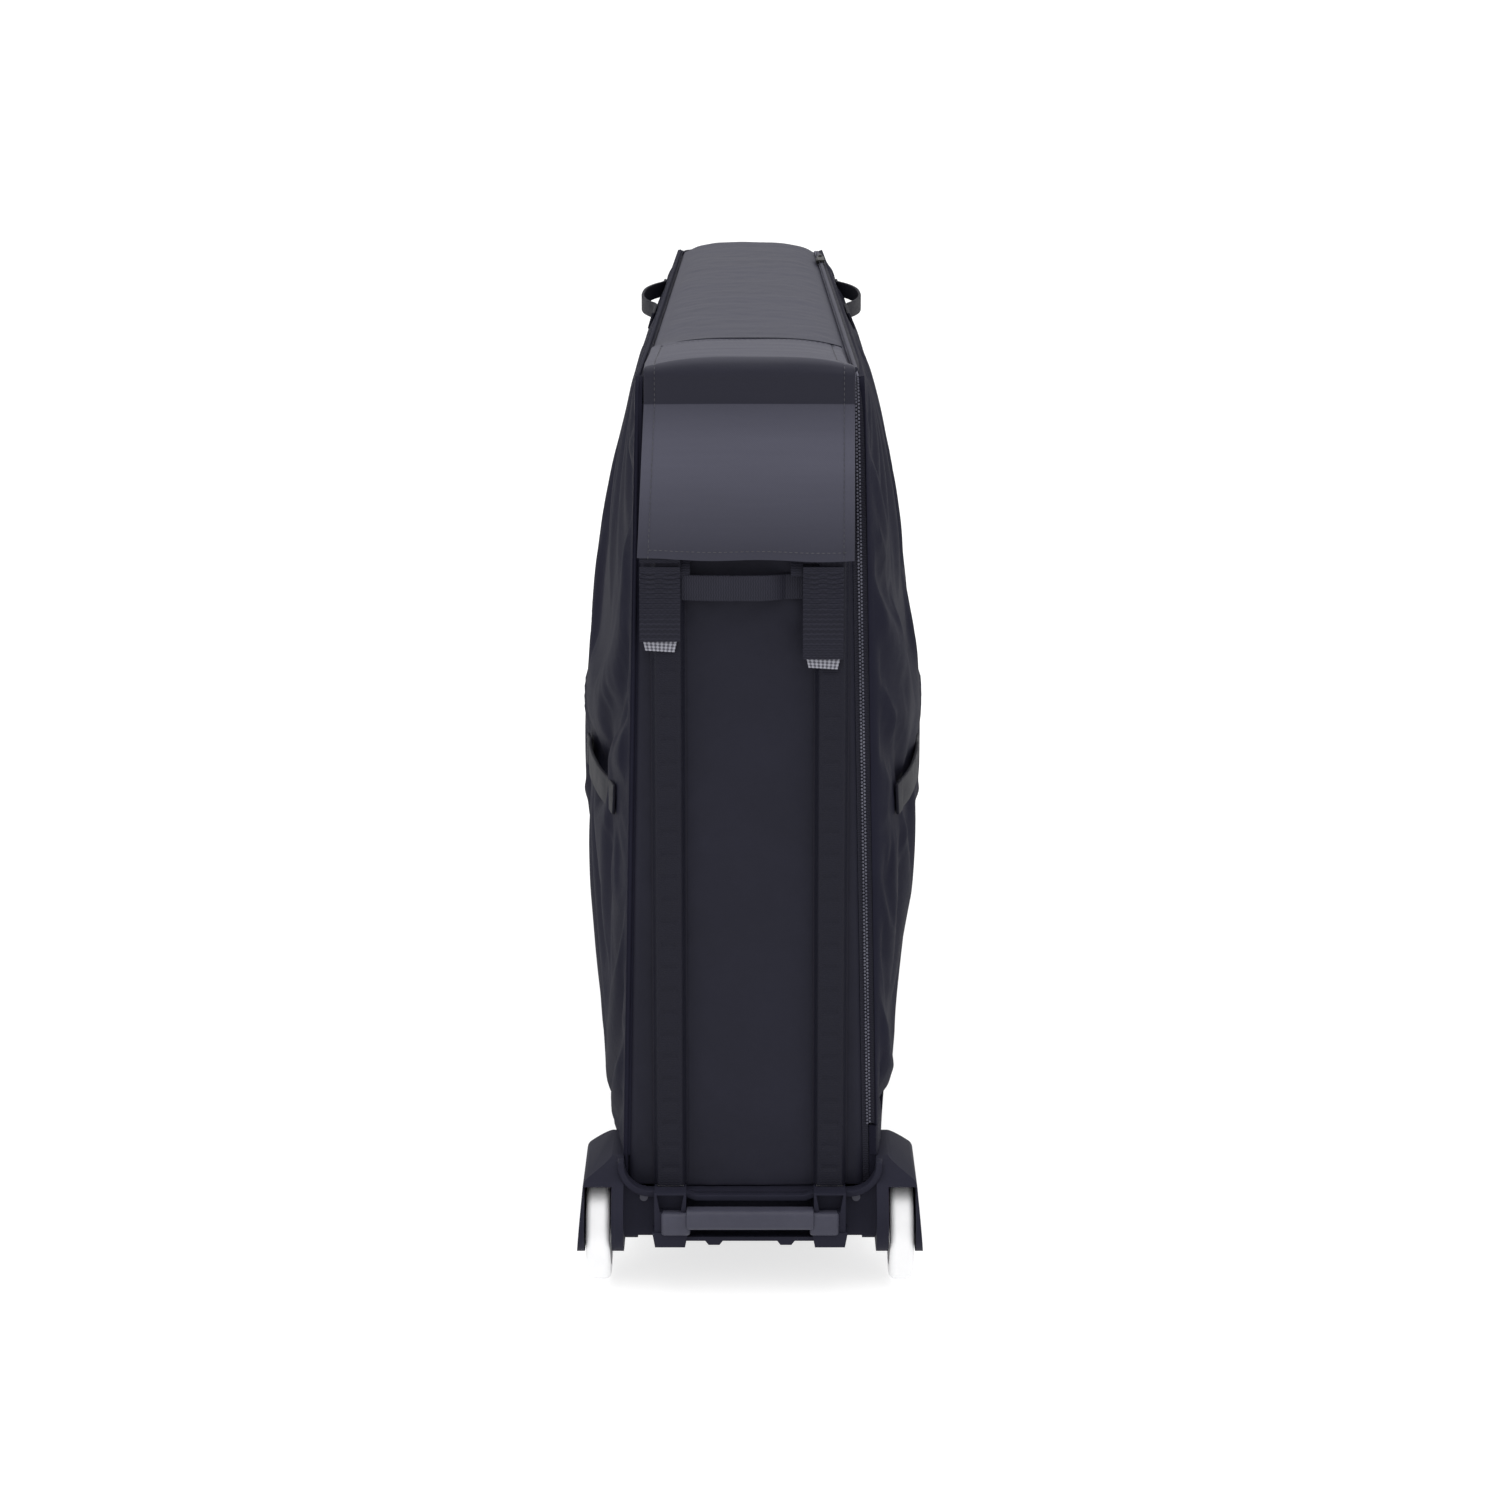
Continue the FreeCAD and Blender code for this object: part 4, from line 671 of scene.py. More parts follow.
# Stitching: one stitch is modelled and repeated along the guard's hems
stitch = {"pitch": 0.0048, "long": 0.0034, "wide": 0.0008, "high": 0.0007, "edgeRows": 4}


def guardOut(row):
    turn = guardStops[row][2]
    return Vector((0, math.cos(turn), math.sin(turn)))


hems = []
for sign in (-1, 1):
    path = []
    for row in range(2, len(guardStops) - 1, 2):
        half = guardHalf(*guardStops[row][:2], sign)
        path.append((guardSpot(row, sign * (half - guard["hem"]), guard["groove"] * 0.6), guardOut(row)))
    hems.append(path)
for row in (stitch["edgeRows"], len(guardStops) - 1 - stitch["edgeRows"]):
    half = guardHalf(*guardStops[row][:2], 1) - 0.004
    path = []
    for step in range(41):
        spot = guardSpot(row, (step / 20 - 1) * half)
        spot.z += guardHem(row, spot.x)
        path.append((spot, guardOut(row)))
    hems.append(path)
stations = []
for path in hems:
    waiting = 0.0
    for (spot, out), follower in zip(path, path[1:]):
        step = follower[0] - spot
        way = step / max(step.length, 1e-9)
        cross = way.cross(out).normalized()
        while waiting <= step.length:
            stations.append((spot + way * waiting, cross * stitch["wide"], out * stitch["high"],
                             way * stitch["long"]))
            waiting += stitch["pitch"]
        waiting -= step.length
bpy.ops.object.select_all(action="DESELECT")
bpy.ops.mesh.primitive_uv_sphere_add(segments=6, ring_count=4, radius=0.5)
repeatSeed("guardStitches", bpy.context.object, stations, "case", "stitchThread", 80)
print("corner guard made")


# Side panels swell like pillows between the hoop and the tray rim
def rearEnd(up):
    if up <= cornerUp:
        return rearAlong(up)
    rise = min(1.0, (up - cornerUp) / bag["cornerRadius"])
    return cornerAlong - bag["cornerRadius"] * math.sqrt(1 - rise * rise)


def frontEnd(up):
    turnUp = bag["edgeUp"] - bag["noseRadius"]
    if up <= turnUp:
        return bag["frontLine"]
    rise = min(1.0, (up - turnUp) / bag["noseRadius"])
    return noseAlong + bag["noseRadius"] * math.sqrt(1 - rise * rise)


def sideEdge(share, up):
    return mixed(rearHalf(up), frontHalf(up), share) + bag["strip"] + 0.001


# how each side swells: its depth, and how that eases off above, at the foot, below and to the ends
swells = {-1: {"depth": 0.0507, "above": 0.956, "foot": 0.438, "below": 1.61, "ends": 0.94},
          1: {"depth": 0.0551, "above": 0.802, "foot": 0.215, "below": 1.60, "ends": 0.593}}


def swellShare(up, swell):
    if up > bag["bulgeUp"]:
        ratio = min(1.0, (up - bag["bulgeUp"]) / (bag["edgeUp"] - bag["bulgeUp"]))
        return (1 - ratio * ratio) ** swell["above"]
    ratio = min(1.0, (bag["bulgeUp"] - up) / (bag["bulgeUp"] - bag["rimUp"]))
    tuck = 1 - min(1.0, max(0.0, up - bag["rimUp"]) / 0.013)
    broad = swell["foot"] + (1 - swell["foot"]) * (1 - ratio * ratio) ** swell["below"]
    return broad * max(0.1, math.sqrt(1 - tuck * tuck))


def sideSurface(along, up, sign=1):
    swell = swells[sign]
    start, end = rearEnd(up), frontEnd(up)
    reach = (end if along > bag["bulgeAlong"] else start) - bag["bulgeAlong"]
    ratio = (along - bag["bulgeAlong"]) / reach
    bulge = swell["depth"] * swellShare(up, swell) * max(0.0, 1 - ratio * ratio) ** swell["ends"]
    return sideEdge((along - start) / (end - start), up) + bulge


sidePanel = {"top": 0.836, "columns": 120, "rows": 76, "thickness": 0.0065, "notchUp": 0.152,
             "notchAlong": -0.541, "fenderAlong": -0.5765, "shoulderUp": 0.123, "handleUp": 0.437,
             "handleAlong": -0.5, "handleSpan": 0.2, "dimple": 0.012, "slack": 0.032, "steps": 24,
             "cap": 0.0055, "blur": 36}


def sideLevel(v, low):
    split = 0.5
    if v < split:
        return low + (bag["bulgeUp"] - low) * v / split
    return bag["bulgeUp"] + (sidePanel["top"] - bag["bulgeUp"]) * math.sin(math.pi / 2 * (v - split) / split)


def sidePoint(u, v, sign, low):
    up = sideLevel(v, low)
    ratio = -math.cos(math.pi * (u if sign > 0 else 1 - u))
    start, end = rearEnd(up), frontEnd(up)
    reach = (end - bag["bulgeAlong"]) if ratio > 0 else (bag["bulgeAlong"] - start)
    along = bag["bulgeAlong"] + ratio * reach
    return Vector((sign * sideSurface(along, up, sign), along, up))


def dimpled(along, up):
    # the panel gives way behind its carry handle
    across = (along - sidePanel["handleAlong"]) / 0.062
    above = (up - sidePanel["handleUp"] - 0.020) / 0.034
    return sidePanel["dimple"] * math.exp(-across * across - above * above)


creases = ((-0.622, 0.560, -0.578, 0.476, 0.0030), (-0.600, 0.350, -0.560, 0.425, 0.0016),
           (-0.628, 0.300, -0.570, 0.235, 0.0020), (-0.615, 0.700, -0.540, 0.590, 0.0018),
           (-0.400, 0.470, -0.300, 0.560, 0.0022), (-0.380, 0.410, -0.180, 0.320, 0.0022),
           (0.080, 0.480, 0.260, 0.600, 0.0020), (0.300, 0.360, 0.460, 0.270, 0.0020),
           (-0.150, 0.640, 0.060, 0.560, 0.0018), (-0.620, 0.200, -0.540, 0.165, 0.0016))


def creaseLift(along, up):
    # sharp pulls in the cloth, each a ridge along a short line
    lift = 0.0
    for startAlong, startUp, endAlong, endUp, depth in creases:
        runAlong, runUp = endAlong - startAlong, endUp - startUp
        run = math.hypot(runAlong, runUp)
        share = ((along - startAlong) * runAlong + (up - startUp) * runUp) / (run * run)
        if -0.2 < share < 1.2:
            away = ((along - startAlong) * runUp - (up - startUp) * runAlong) / run
            fade = eased(-0.2, 0.3, share) * (1 - eased(0.6, 1.2, share))
            lift += depth * math.exp(-((away / 0.006) ** 2)) * fade
    return lift


def settle(piece, columns, rows, held, loose):
    # lets the cloth buckle, then keeps its folds and drops its broad drift
    activate(piece)
    group = piece.vertex_groups.new(name="held")
    group.add(held, 1.0, "REPLACE")
    order = np.array([corner.co[:] for corner in piece.data.vertices])
    bpy.ops.object.modifier_add(type="CLOTH")
    modifier = piece.modifiers[-1]
    settings = modifier.settings
    settings.vertex_group_mass = "held"
    settings.quality = 6
    settings.mass = 0.3
    settings.tension_stiffness = settings.compression_stiffness = 18
    settings.shear_stiffness = 6
    settings.bending_stiffness = 1.6
    settings.shrink_min = -sidePanel["slack"]
    settings.use_pressure = True
    settings.uniform_pressure_force = 0.5
    settings.effector_weights.gravity = 0.25
    modifier.collision_settings.use_collision = False
    modifier.point_cache.frame_end = sidePanel["steps"]
    for step in range(1, sidePanel["steps"] + 1):
        scene.frame_set(step)
    bpy.ops.object.modifier_apply(modifier=modifier.name)
    scene.frame_set(1)
    moved = np.array([corner.co[:] for corner in piece.data.vertices]) - order
    field = moved.reshape(rows + 1, columns + 1, 3)
    drift = field.copy()
    for turn in range(sidePanel["blur"]):
        wide = np.pad(drift, ((1, 1), (1, 1), (0, 0)), mode="edge")
        drift = (wide[:-2, 1:-1] + wide[2:, 1:-1] + wide[1:-1, :-2] + wide[1:-1, 2:]) / 4
    fold = field - drift
    length = np.linalg.norm(fold, axis=2, keepdims=True)
    fold *= np.minimum(1.0, sidePanel["cap"] / np.maximum(length, 1e-9))
    fold *= np.array(loose).reshape(rows + 1, columns + 1, 1)
    print(piece.name, "folds up to", round(float(length.max()) * 1000, 1), "mm, mean",
          round(float(length.mean()) * 1000, 2), "mm")
    for corner, start, change in zip(piece.data.vertices, order, fold.reshape(-1, 3)):
        corner.co = Vector(start) + Vector(change)
    piece.vertex_groups.clear()


def trimSide(piece, notchUp, notchAlong):
    # cuts the panel's lower rear corner away above the wheel
    openMesh(piece)
    bpy.ops.mesh.bisect(plane_co=(0, 0, notchUp), plane_no=(0, 0, 1))
    bpy.ops.mesh.select_all(action="SELECT")
    bpy.ops.mesh.bisect(plane_co=(0, notchAlong, 0), plane_no=(0, 1, 0))
    bpy.ops.mesh.select_all(action="DESELECT")
    closeMesh()
    for face in piece.data.polygons:
        face.select = face.center.z < notchUp and face.center.y < notchAlong
    bpy.ops.object.mode_set(mode="EDIT")
    bpy.ops.mesh.delete(type="FACE")
    closeMesh()


def sideCloth(name, sign, low, notch, node):
    columns, rows = sidePanel["columns"], sidePanel["rows"]
    piece = clothGrid(name, columns, rows, (1.34, 0.8), lambda u, v: sidePoint(u, v, sign, low))
    held, loose = [], []
    for corner in piece.data.vertices:
        spot = corner.co
        up, along = spot.z, spot.y
        room = min(along - rearEnd(up), frontEnd(up) - along, up - low, sidePanel["top"] - up)
        foot = min(abs(along - sidePanel["handleAlong"] - end * sidePanel["handleSpan"] / 2) for end in (-1, 1))
        level = abs(up - sidePanel["handleUp"])
        if room < 0.004 or (foot < 0.018 and level < 0.02):
            held.append(corner.index)
        loose.append(eased(0.002, 0.022, room) * eased(0.012, 0.03, max(foot, level)))
        fold = wrinkle((along * 0.9, up * 1.3, sign), 9, 2.2) * 0.0026
        spot.x += sign * (fold * eased(0.0, 0.06, room) - dimpled(along, up))
    settle(piece, columns, rows, held, loose)
    modify(piece, "SUBSURF", levels=1, render_levels=1)
    for corner in piece.data.vertices:
        corner.co.x += sign * creaseLift(corner.co.y, corner.co.z)
    trimSide(piece, *notch)
    linePiece(piece, sidePanel["thickness"], sideBodies[sign], "sideCloth", (node,), 60)


sideCloth("leftSideCloth", -1, 0.0985, (sidePanel["shoulderUp"], sidePanel["fenderAlong"]),
          "left_side_panel")
sideCloth("rightDoorCloth", 1, 0.1155, (sidePanel["notchUp"], sidePanel["notchAlong"]),
          "right_side_door")
print("side panels made")

# Small cloth patch below the zip's lower end, and its foot between the fender and the door
gusset = {"up": (0.1232, 0.1508), "sink": 0.0004, "thickness": 0.006, "gap": 0.0025}
gussetFoot = {"up": (0.0985, 0.1240), "sink": 0.0008, "thickness": 0.005}
gussetEnd = sidePanel["notchAlong"] - gusset["gap"]


def gussetPoint(u, v):
    up = mixed(*gusset["up"], v)
    along = mixed(rearEnd(up), gussetEnd, u)
    return Vector((sideSurface(along, up) - gusset["sink"], along, up))


def gussetFootPoint(u, v):
    up = mixed(*gussetFoot["up"], v)
    along = mixed(sidePanel["fenderAlong"], gussetEnd, u)
    return Vector((sideSurface(along, up) - gussetFoot["sink"], along, up))


patch = clothGrid("rearGussetCloth", 40, 12, (0.12, 0.03), gussetPoint)
sewPiece(patch, gusset["thickness"], "case", "sideCloth", ("rear_gusset",))
patchFoot = clothGrid("rearGussetFoot", 16, 10, (0.033, 0.026), gussetFootPoint)
sewPiece(patchFoot, gussetFoot["thickness"], "case", "sideCloth")


# Tubes and tapes that follow the hoop beside the panels
def hoopTube(name, form, finishName, replaced=()):
    facets = 12
    start, end, radius, beside = form["start"], form["end"], form["radius"], form["beside"]

    def shape(u, v):
        stop = hoopAt(mixed(start, end, v))
        angle = 2 * math.pi * u
        across = math.copysign(stop.half + abs(beside), beside) + radius * math.cos(angle)
        return laid(stop, across, form["lift"] + radius * math.sin(angle))

    piece = clothGrid(name, facets, form["rows"], (2 * math.pi * radius, end - start), shape)
    openMesh(piece)
    bpy.ops.mesh.remove_doubles(threshold=0.00002)
    bpy.ops.mesh.fill_holes(sides=facets)
    bpy.ops.mesh.normals_make_consistent(inside=False)
    closeMesh()
    finishPiece(piece, "case", finishName, replaced, 60)


def hoopTape(name, span, rows, edges, lifts, thickness, body, finishName, replaced=()):
    # a flat tape between two edges beside the hoop, each at its own height
    near, far = abs(edges[0]), abs(edges[1])

    def shape(u, v):
        stop = hoopAt(mixed(*span, v))
        share = u if edges[1] > 0 else 1 - u
        across = math.copysign(stop.half + mixed(near, far, share), edges[1])
        return laid(stop, across, mixed(*lifts, share))

    tape = clothGrid(name, 6, rows, (abs(far - near), span[1] - span[0]), shape)
    sewPiece(tape, thickness, body, finishName, replaced)


weltEnd = hoopRun - 0.016
welt = {"start": 0.001, "end": weltEnd, "rows": 420, "radius": 0.0019, "beside": -0.0104, "lift": -0.0016}
hoopTube("leftWeltPiping", welt, "sideCloth", ("left_welt",))
hoopTape("leftWeltTape", (0.0, weltEnd), 420, (-0.0070, -0.0130), (-0.0050, -0.0044), 0.0015, "case",
         "webbing")
print("welt made")

# Zip: two tapes and two rows of coil teeth, with a cloth roll over the top run
zipForm = {"pitch": 0.0032, "tooth": (0.0021, 0.0022, 0.0016), "lift": -0.0021, "slot": 0.006,
           "shellTeeth": -0.0011, "doorTeeth": 0.0012, "tape": 0.0008}
doorStart = distanceAt(sidePanel["notchUp"]) + 0.001
zipEnd = hoopRun - 0.018
ridge = {"start": cornerEnd + 0.012, "end": noseStart - 0.03, "rows": 260, "radius": 0.0021,
         "beside": 0.0062, "lift": 0.0008}
hoopTape("zipShellTape", (0.0, zipEnd), 420, (0.0002, 0.0057), (-0.0026, -0.0034), zipForm["tape"],
         "case", "webbing", ("zip_shell_side",))
hoopTape("gussetEdgeTape", (0.0, doorStart - 0.002), 40, (0.0062, 0.0128), (-0.0034, -0.0026), 0.0012,
         "case", "sideCloth")
hoopTube("zipCoverRoll", ridge, "topCloth")
hoopTape("zipDoorTape", (doorStart, zipEnd), 420, (0.0063, 0.0126), (-0.0034, -0.0026), zipForm["tape"],
         "side_door", "webbing", ("zip_door_side",))


def toothRow(name, start, beside, body):
    # one tooth is modelled and repeated along the tape's edge
    tooth = newBox("zipTooth", zipForm["tooth"], (0, 0, 0))
    modify(tooth, "BEVEL", width=0.0006, segments=1, limit_method="NONE")
    stations = []
    for step in range(int((zipEnd - start) / zipForm["pitch"])):
        stop = hoopAt(start + step * zipForm["pitch"])
        place = laid(stop, stop.half + beside, zipForm["lift"])
        stations.append((place, Vector((1, 0, 0)), Vector((0, stop.outUp, -stop.outAlong)),
                         Vector((0, stop.outAlong, stop.outUp))))
    repeatSeed(name, tooth, stations, body, "zipCoil", 20)


toothRow("zipShellCoil", doorStart, zipForm["slot"] + zipForm["shellTeeth"], "case")
toothRow("zipDoorCoil", doorStart + zipForm["pitch"] / 2, zipForm["slot"] + zipForm["doorTeeth"], "side_door")
print("zip made")

# Batten sleeves: webbing raised over each batten, with a ladder of cross stitches
sleeve = {"spacing": 0.146, "width": 0.032, "depth": 0.0095, "base": 0.0042, "crown": 0.0008,
          "shoulder": (0.0108, 0.0155), "lowUp": 0.0985, "highUp": 0.6755, "step": 0.021, "pinch": 0.0010,
          "pinchRun": 0.0022, "pinchEdge": (0.006, 0.008), "thickness": 0.0016}


def sleevePoint(u, v, middle):
    up = mixed(sleeve["lowUp"], sleeve["highUp"], v)
    offset = (u - 0.5) * sleeve["width"]
    lift = sleeve["base"] + sleeve["depth"] * (1 - eased(*sleeve["shoulder"], abs(offset)))
    lift += sleeve["crown"] * (1 - (2 * offset / sleeve["width"]) ** 2)
    beside = ((up / sleeve["step"]) % 1.0 - 0.5) * sleeve["step"]
    mark = math.exp(-((beside / sleeve["pinchRun"]) ** 2)) * (1 - eased(*sleeve["pinchEdge"], abs(offset)))
    lift += 0.0004 * wrinkle((offset, up, middle), 40, 4.1) - sleeve["pinch"] * mark
    return laid(hoopAt(distanceAt(up)), middle + offset, lift)


for side, sign in bothSides:
    middle = sign * sleeve["spacing"] / 2
    strip = clothGrid(side + "SleeveWebbing", 36, 330, (sleeve["width"], 0.575),
                      lambda u, v: sleevePoint(u, v, middle))
    sewPiece(strip, sleeve["thickness"], "case", "sleeveWebbing", (side + "_sleeve",), 50)
print("sleeves made")

# Closing tabs hang from a fold under the guard, with a light bound tip
tab = {"width": 0.036, "foldAlong": -0.64632, "foldUp": 0.672, "hang": 0.0004, "thickness": 0.0023,
       "rib": 0.0042, "ripple": 0.0006, "cup": 0.0009, "sway": 0.0022, "stand": 0.0010,
       "rootUp": 0.6752, "rootRun": 0.016, "rootThickness": 0.0016}
tabTip = {"width": 0.032, "taper": 0.006, "run": 0.0090, "overlap": 0.004, "slant": 0.06, "stand": 0.0012,
          "thickness": 0.0018, "bevel": 0.0005}
tabSides = (("left", -0.080, 0.0664), ("right", 0.065, 0.0819))


def tabPoint(u, v, middle, length):
    offset = (u - 0.5) * tab["width"]
    drop = length * (1 - v)
    chevron = abs(((offset / 0.018) % 1.0) - 0.5) * 0.004 * eased(0.3, 1.0, v)
    ripple = tab["ripple"] * math.sin(2 * math.pi * (drop + chevron) / tab["rib"]) * (0.45 + 0.55 * v)
    cup = tab["cup"] * math.cos(offset * 190) * eased(0.55, 1.0, v)
    sway = tab["sway"] * eased(0.2, 1.0, 1 - v) + tab["stand"]
    out = sway + (ripple + cup) * eased(0.0, 0.008, drop)
    along = tab["foldAlong"] - drop * math.sin(tilt) - out * math.cos(tilt)
    up = tab["foldUp"] - tab["hang"] - drop * math.cos(tilt) + out * math.sin(tilt)
    return Vector((middle + offset, along, up))


def tipPoint(u, v, middle, length):
    offset = (u - 0.5) * (tabTip["width"] - tabTip["taper"] * (1 - v))
    below = (tabTip["run"] + tabTip["overlap"]) * (1 - v) + offset * tabTip["slant"]
    drop = length - tabTip["overlap"] + below
    along = tab["foldAlong"] - drop * math.sin(tilt) - tabTip["stand"]
    return Vector((middle + offset, along, tab["foldUp"] - tab["hang"] - drop * math.cos(tilt)))


def rootPoint(u, v, middle):
    # the sewn end of the strap, under the guard
    up = tab["rootUp"] + tab["rootRun"] * v
    along = tab["foldAlong"] + (up - tab["foldUp"]) * math.tan(tilt) - 0.0002
    return Vector((middle + (u - 0.5) * tab["width"], along, up))


for side, middle, length in tabSides:
    root = clothGrid(side + "TabRoot", 24, 8, (tab["width"], tab["rootRun"]),
                     lambda u, v: rootPoint(u, v, middle))
    sewPiece(root, tab["rootThickness"], "case", "webbing", (), 60, 0)
    strap = clothGrid(side + "TabWebbing", 36, 110, (tab["width"], length),
                      lambda u, v: tabPoint(u, v, middle, length))
    sewPiece(strap, tab["thickness"], side + "_tab", "webbing", (side + "_tab",), 60, 0)
    tip = clothGrid(side + "TabTip", 24, 12, (tabTip["width"], tabTip["run"] + tabTip["overlap"]),
                    lambda u, v: tipPoint(u, v, middle, length))
    modify(tip, "SOLIDIFY", thickness=tabTip["thickness"], offset=0)
    modify(tip, "BEVEL", width=tabTip["bevel"], segments=2, limit_method="ANGLE")
    finishPiece(tip, side + "_tab", "tipWebbing", (side + "_tab_tip",), 60)
print("tabs made")

# Carry handles: webbing bridges with sewn ends
handle = {"thickness": 0.003, "sewn": 0.024, "columns": 10, "rows": 80, "seat": 0.0034, "bow": 0.013,
          "bend": 2.6, "bevel": 0.0008, "stand": 0.0014}
rearHandle = {"span": 0.1177, "width": 0.0228, "up": 0.652, "shift": 0.00335, "bridge": 0.111,
              "reach": 0.0622, "dip": 0.45}
frontHandle = {"span": 0.17, "width": 0.025, "up": 0.43}
lug = {"span": 0.024, "width": 0.011, "up": 0.674, "spread": 0.0500, "shift": 0.0085, "rise": 0.0075}
sideHandle = {"span": sidePanel["handleSpan"], "width": 0.028, "along": sidePanel["handleAlong"],
              "up": sidePanel["handleUp"] + 0.009, "room": 0.0050, "sewn": (0.024, 0.024), "sunk": True}
topHandle = {"span": 0.31, "width": 0.0165, "along": 0.05, "up": 0.8225, "room": 0.0165,
             "sewn": (0.085, 0.030), "sunk": False}


def bridgeLift(distance, span):
    # height of the strap over its seat at a distance from its middle: a low, even bow
    share = min(1.0, abs(distance) / (span / 2 - handle["sewn"]))
    return handle["bow"] * (1 - share ** handle["bend"])


def strapPiece(name, form, body, replaced, spot, finishName="webbing"):
    width, span = form["width"], form["span"]
    piece = clothGrid(name, handle["columns"], handle["rows"], (width, span),
                      lambda u, v: spot((u - 0.5) * width, (v - 0.5) * span))
    modify(piece, "SOLIDIFY", thickness=handle["thickness"], offset=-1)
    modify(piece, "BEVEL", width=handle["bevel"], segments=2, limit_method="ANGLE",
           angle_limit=math.radians(50))
    finishPiece(piece, body, finishName, replaced, 60)


def strapLaid(stop, across, rise):
    return laid(stop, across, handle["seat"] + handle["thickness"] + rise)


def rearHandleSpot(side, distance):
    across = distance - rearHandle["shift"]
    rise = bridgeLift(across, rearHandle["bridge"])
    if across < 0:  # this end rides over the sleeve's edge
        share = across / -rearHandle["reach"]
        rise = handle["bow"] * (1 - rearHandle["dip"] * share ** handle["bend"])
    return strapLaid(hoopAt(distanceAt(rearHandle["up"] - side)), across, rise)


def frontHandleSpot(side, distance):
    stop = hoopAt(noseEnd + (bag["edgeUp"] - bag["noseRadius"] - frontHandle["up"]) + side)
    return strapLaid(stop, distance, bridgeLift(distance, frontHandle["span"]))


def lugSpot(middle):
    # a short strap that comes down from under the guard to each end of the rear handle
    def spot(side, distance):
        stop = hoopAt(distanceAt(lug["up"] - distance))
        return strapLaid(stop, middle - side, lug["rise"] * eased(-0.012, 0.010, distance))

    return spot


def sideHandleSpot(sign, form):
    # a taut strap: its ends lie on the panel and its middle runs straight between them
    def seat(here, level):
        return sideSurface(here, level, sign) - (dimpled(here, level) if form["sunk"] else 0.0)

    first, last = form["sewn"][0] - form["span"] / 2, form["span"] / 2 - form["sewn"][1]
    near, far = (seat(form["along"] + end, form["up"]) for end in (first, last))

    def spot(side, distance):
        here = form["along"] + distance
        level = form["up"] - side * sign
        share = min(1.0, max(0.0, (distance - first) / (last - first)))
        chord = mixed(near, far, share) + form["room"] * (1 - abs(2 * share - 1) ** handle["bend"])
        held = eased(0.0, 0.010, max(first - distance, distance - last))
        base = mixed(chord, seat(here, level), held)
        return Vector((sign * (base + handle["stand"] + handle["thickness"]), here, level))

    return spot


strapPiece("rearHandleStrap", rearHandle, "case", ("rear_handle",), rearHandleSpot, "handleWebbing")
strapPiece("frontHandleStrap", frontHandle, "case", ("front_handle",), frontHandleSpot)
for side, sign in bothSides:
    strapPiece(side + "HandleLug", lug, "case", (), lugSpot(sign * lug["spread"] - lug["shift"]))
    for place, form in (("side", sideHandle), ("top", topHandle)):
        strapPiece(side + place.title() + "HandleStrap", form, sideBodies[sign],
                   (side + "_" + place + "_handle",), sideHandleSpot(sign, form), "loopWebbing")
print("handles made")

# Inside: pocket walls, foam block and the door's hem
pocket = {"lowUp": 0.1245, "highUp": 0.548, "inset": 0.0095, "gap": 0.0006, "tuck": 0.009, "tuckRun": 0.16,
          "notchUp": 0.158, "thickness": 0.0036}


def pocketPoint(u, v, sign):
    up = mixed(pocket["lowUp"], pocket["highUp"], v)
    start, end = rearEnd(up) + pocket["inset"], frontEnd(up) - pocket["inset"]
    share = u if sign > 0 else 1 - u
    along = mixed(start, end, share)
    tuck = 1 - eased(0.0, pocket["tuckRun"], min(along - start, end - along))
    across = sideEdge(share, up) - pocket["gap"] - pocket["tuck"] * tuck
    return Vector((sign * across, along, up))


for side, sign in bothSides:
    wall = clothGrid(side + "PocketCloth", 80, 50, (1.3, 0.42), lambda u, v: pocketPoint(u, v, sign))
    if sign > 0:
        trimSide(wall, pocket["notchUp"], sidePanel["notchAlong"])
    sewPiece(wall, pocket["thickness"], sideBodies[sign], "liningCloth", (side + "_pocket_wall",))


def softBlock(node, name, body, finishName, bevel):
    # a rounded copy of a node's solid
    piece = bpy.data.objects.new(name, nodes[node].data.copy())
    scene.collection.objects.link(piece)
    piece.data.materials.clear()
    openMesh(piece)
    bpy.ops.mesh.remove_doubles(threshold=0.00001)
    bpy.ops.mesh.dissolve_limited(angle_limit=math.radians(1))
    closeMesh()
    modify(piece, "BEVEL", width=bevel, segments=3, limit_method="ANGLE", angle_limit=math.radians(35))
    return finishPiece(piece, body, finishName, (node,), 40)


softBlock("frame_block", "frameBlockFoam", "case", "foamCloth", 0.003)
softBlock("door_hem", "doorHemWebbing", "side_door", "webbing", 0.0006)
for node, name, finishName, bevel in (
        ("rear_chassis", "rearChassisShell", "chassisPlastic", 0.0014),
        ("rear_grip_bar", "rearGripBar", "gripPlastic", 0.0012),
        ("base_tray", "baseTrayShell", "chassisPlastic", 0.0014),
        ("front_feet", "frontFeetBlocks", "chassisPlastic", 0.0012)):
    softBlock(node, name, "case", finishName, bevel)

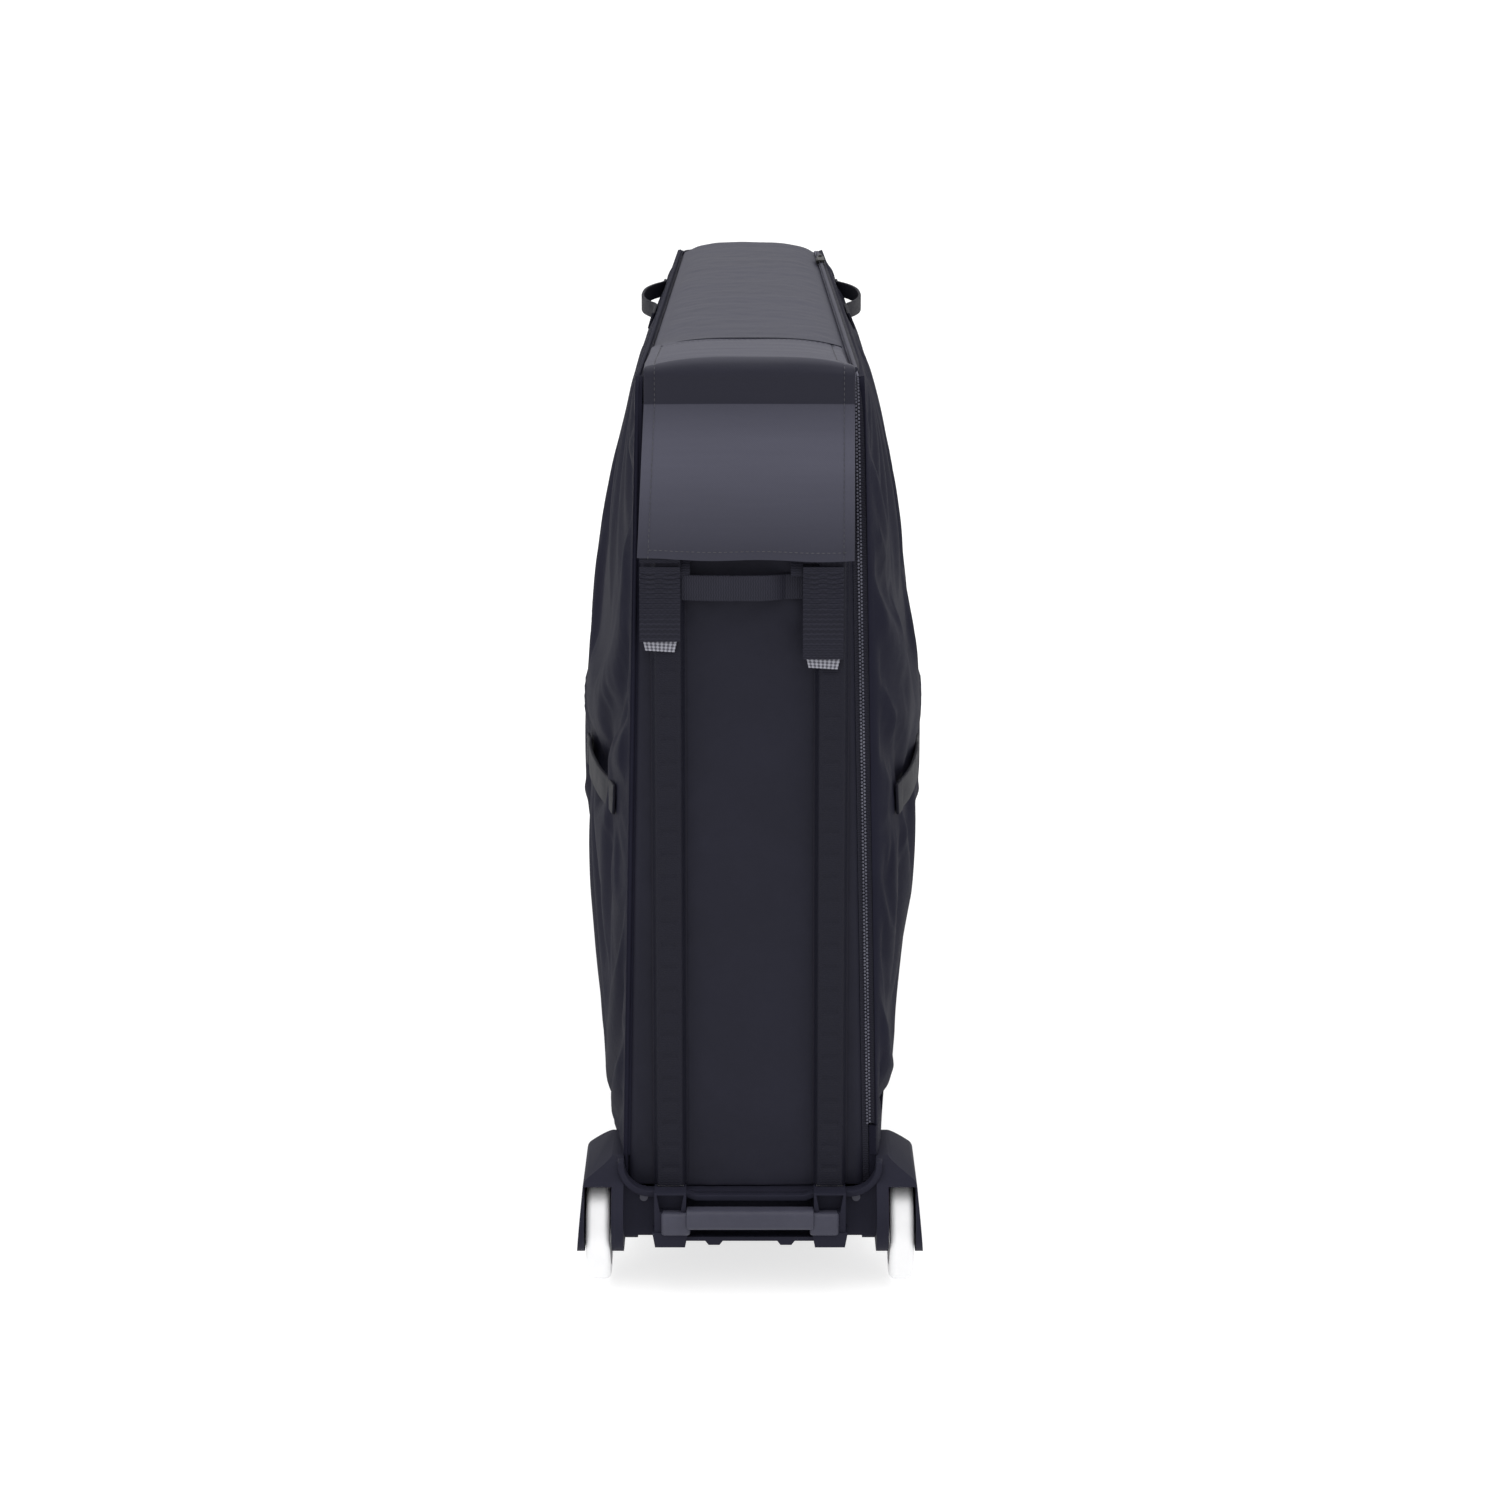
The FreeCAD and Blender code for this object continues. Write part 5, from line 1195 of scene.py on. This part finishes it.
# Rolled lip on the chassis rim: one box drawn along the rim's U
lip = {"half": 0.1165, "topUp": 0.1225, "lowUp": 0.0945, "radius": 0.0255, "dip": 0.004, "dipHalf": 0.050,
       "dipRun": 0.011, "along": (-0.6785, -0.6655), "depth": 0.0058, "overlap": 0.0012, "turns": 8,
       "bevel": 0.0025}
bendUp = lip["lowUp"] + lip["radius"]
bendAcross = lip["half"] - lip["radius"]
flatRun = bendAcross - lip["dipHalf"] - lip["dipRun"]
lipPiece = newBox("chassisRimLip", (lip["depth"], lip["along"][1] - lip["along"][0], 0.001),
                  (-lip["half"] - lip["depth"] / 2 + lip["overlap"], sum(lip["along"]) / 2, lip["topUp"]))
openMesh(lipPiece)
bpy.ops.mesh.select_mode(type="FACE")
bpy.ops.mesh.select_all(action="DESELECT")
closeMesh()
for face in lipPiece.data.polygons:
    face.select = face.normal.z < -0.5
bpy.ops.object.mode_set(mode="EDIT")


def drawLip(across, rise):
    bpy.ops.mesh.extrude_region_move(TRANSFORM_OT_translate={"value": (across, 0, rise)})


def turnLip(across):
    for step in range(lip["turns"]):
        drawLip(0, 0)
        bpy.ops.transform.rotate(value=math.radians(90 / lip["turns"]), orient_axis="Y", orient_type="GLOBAL",
                                 center_override=(across, 0, bendUp))


drawLip(0, bendUp - lip["topUp"])
turnLip(-bendAcross)
for across, rise in ((flatRun, 0), (lip["dipRun"], -lip["dip"]), (2 * lip["dipHalf"], 0),
                     (lip["dipRun"], lip["dip"]), (flatRun, 0)):
    drawLip(across, rise)
turnLip(bendAcross)
drawLip(0, lip["topUp"] - bendUp)
closeMesh()
modify(lipPiece, "BEVEL", width=lip["bevel"], segments=3, limit_method="ANGLE", angle_limit=math.radians(60))
finishPiece(lipPiece, "case", "chassisPlastic", (), 50)

# Rounded caps where the grip bar meets its sockets
gripCap = {"size": (0.0264, 0.012, 0.0215), "across": 0.068, "along": -0.688, "up": 0.0685,
           "inset": 0.004, "depth": 0.002, "bevel": 0.0024}
for side, sign in bothSides:
    cap = newBox(side + "GripCap", gripCap["size"], (sign * gripCap["across"], gripCap["along"], gripCap["up"]))
    for face in cap.data.polygons:
        face.select = face.normal.y < -0.5
    bpy.ops.object.mode_set(mode="EDIT")
    bpy.ops.mesh.select_mode(type="FACE")
    bpy.ops.mesh.inset(thickness=gripCap["inset"], depth=gripCap["depth"])
    closeMesh()
    modify(cap, "BEVEL", width=gripCap["bevel"], segments=3, limit_method="ANGLE", angle_limit=math.radians(25))
    finishPiece(cap, "case", "gripPlastic", (), 50)
print("inner pieces made")
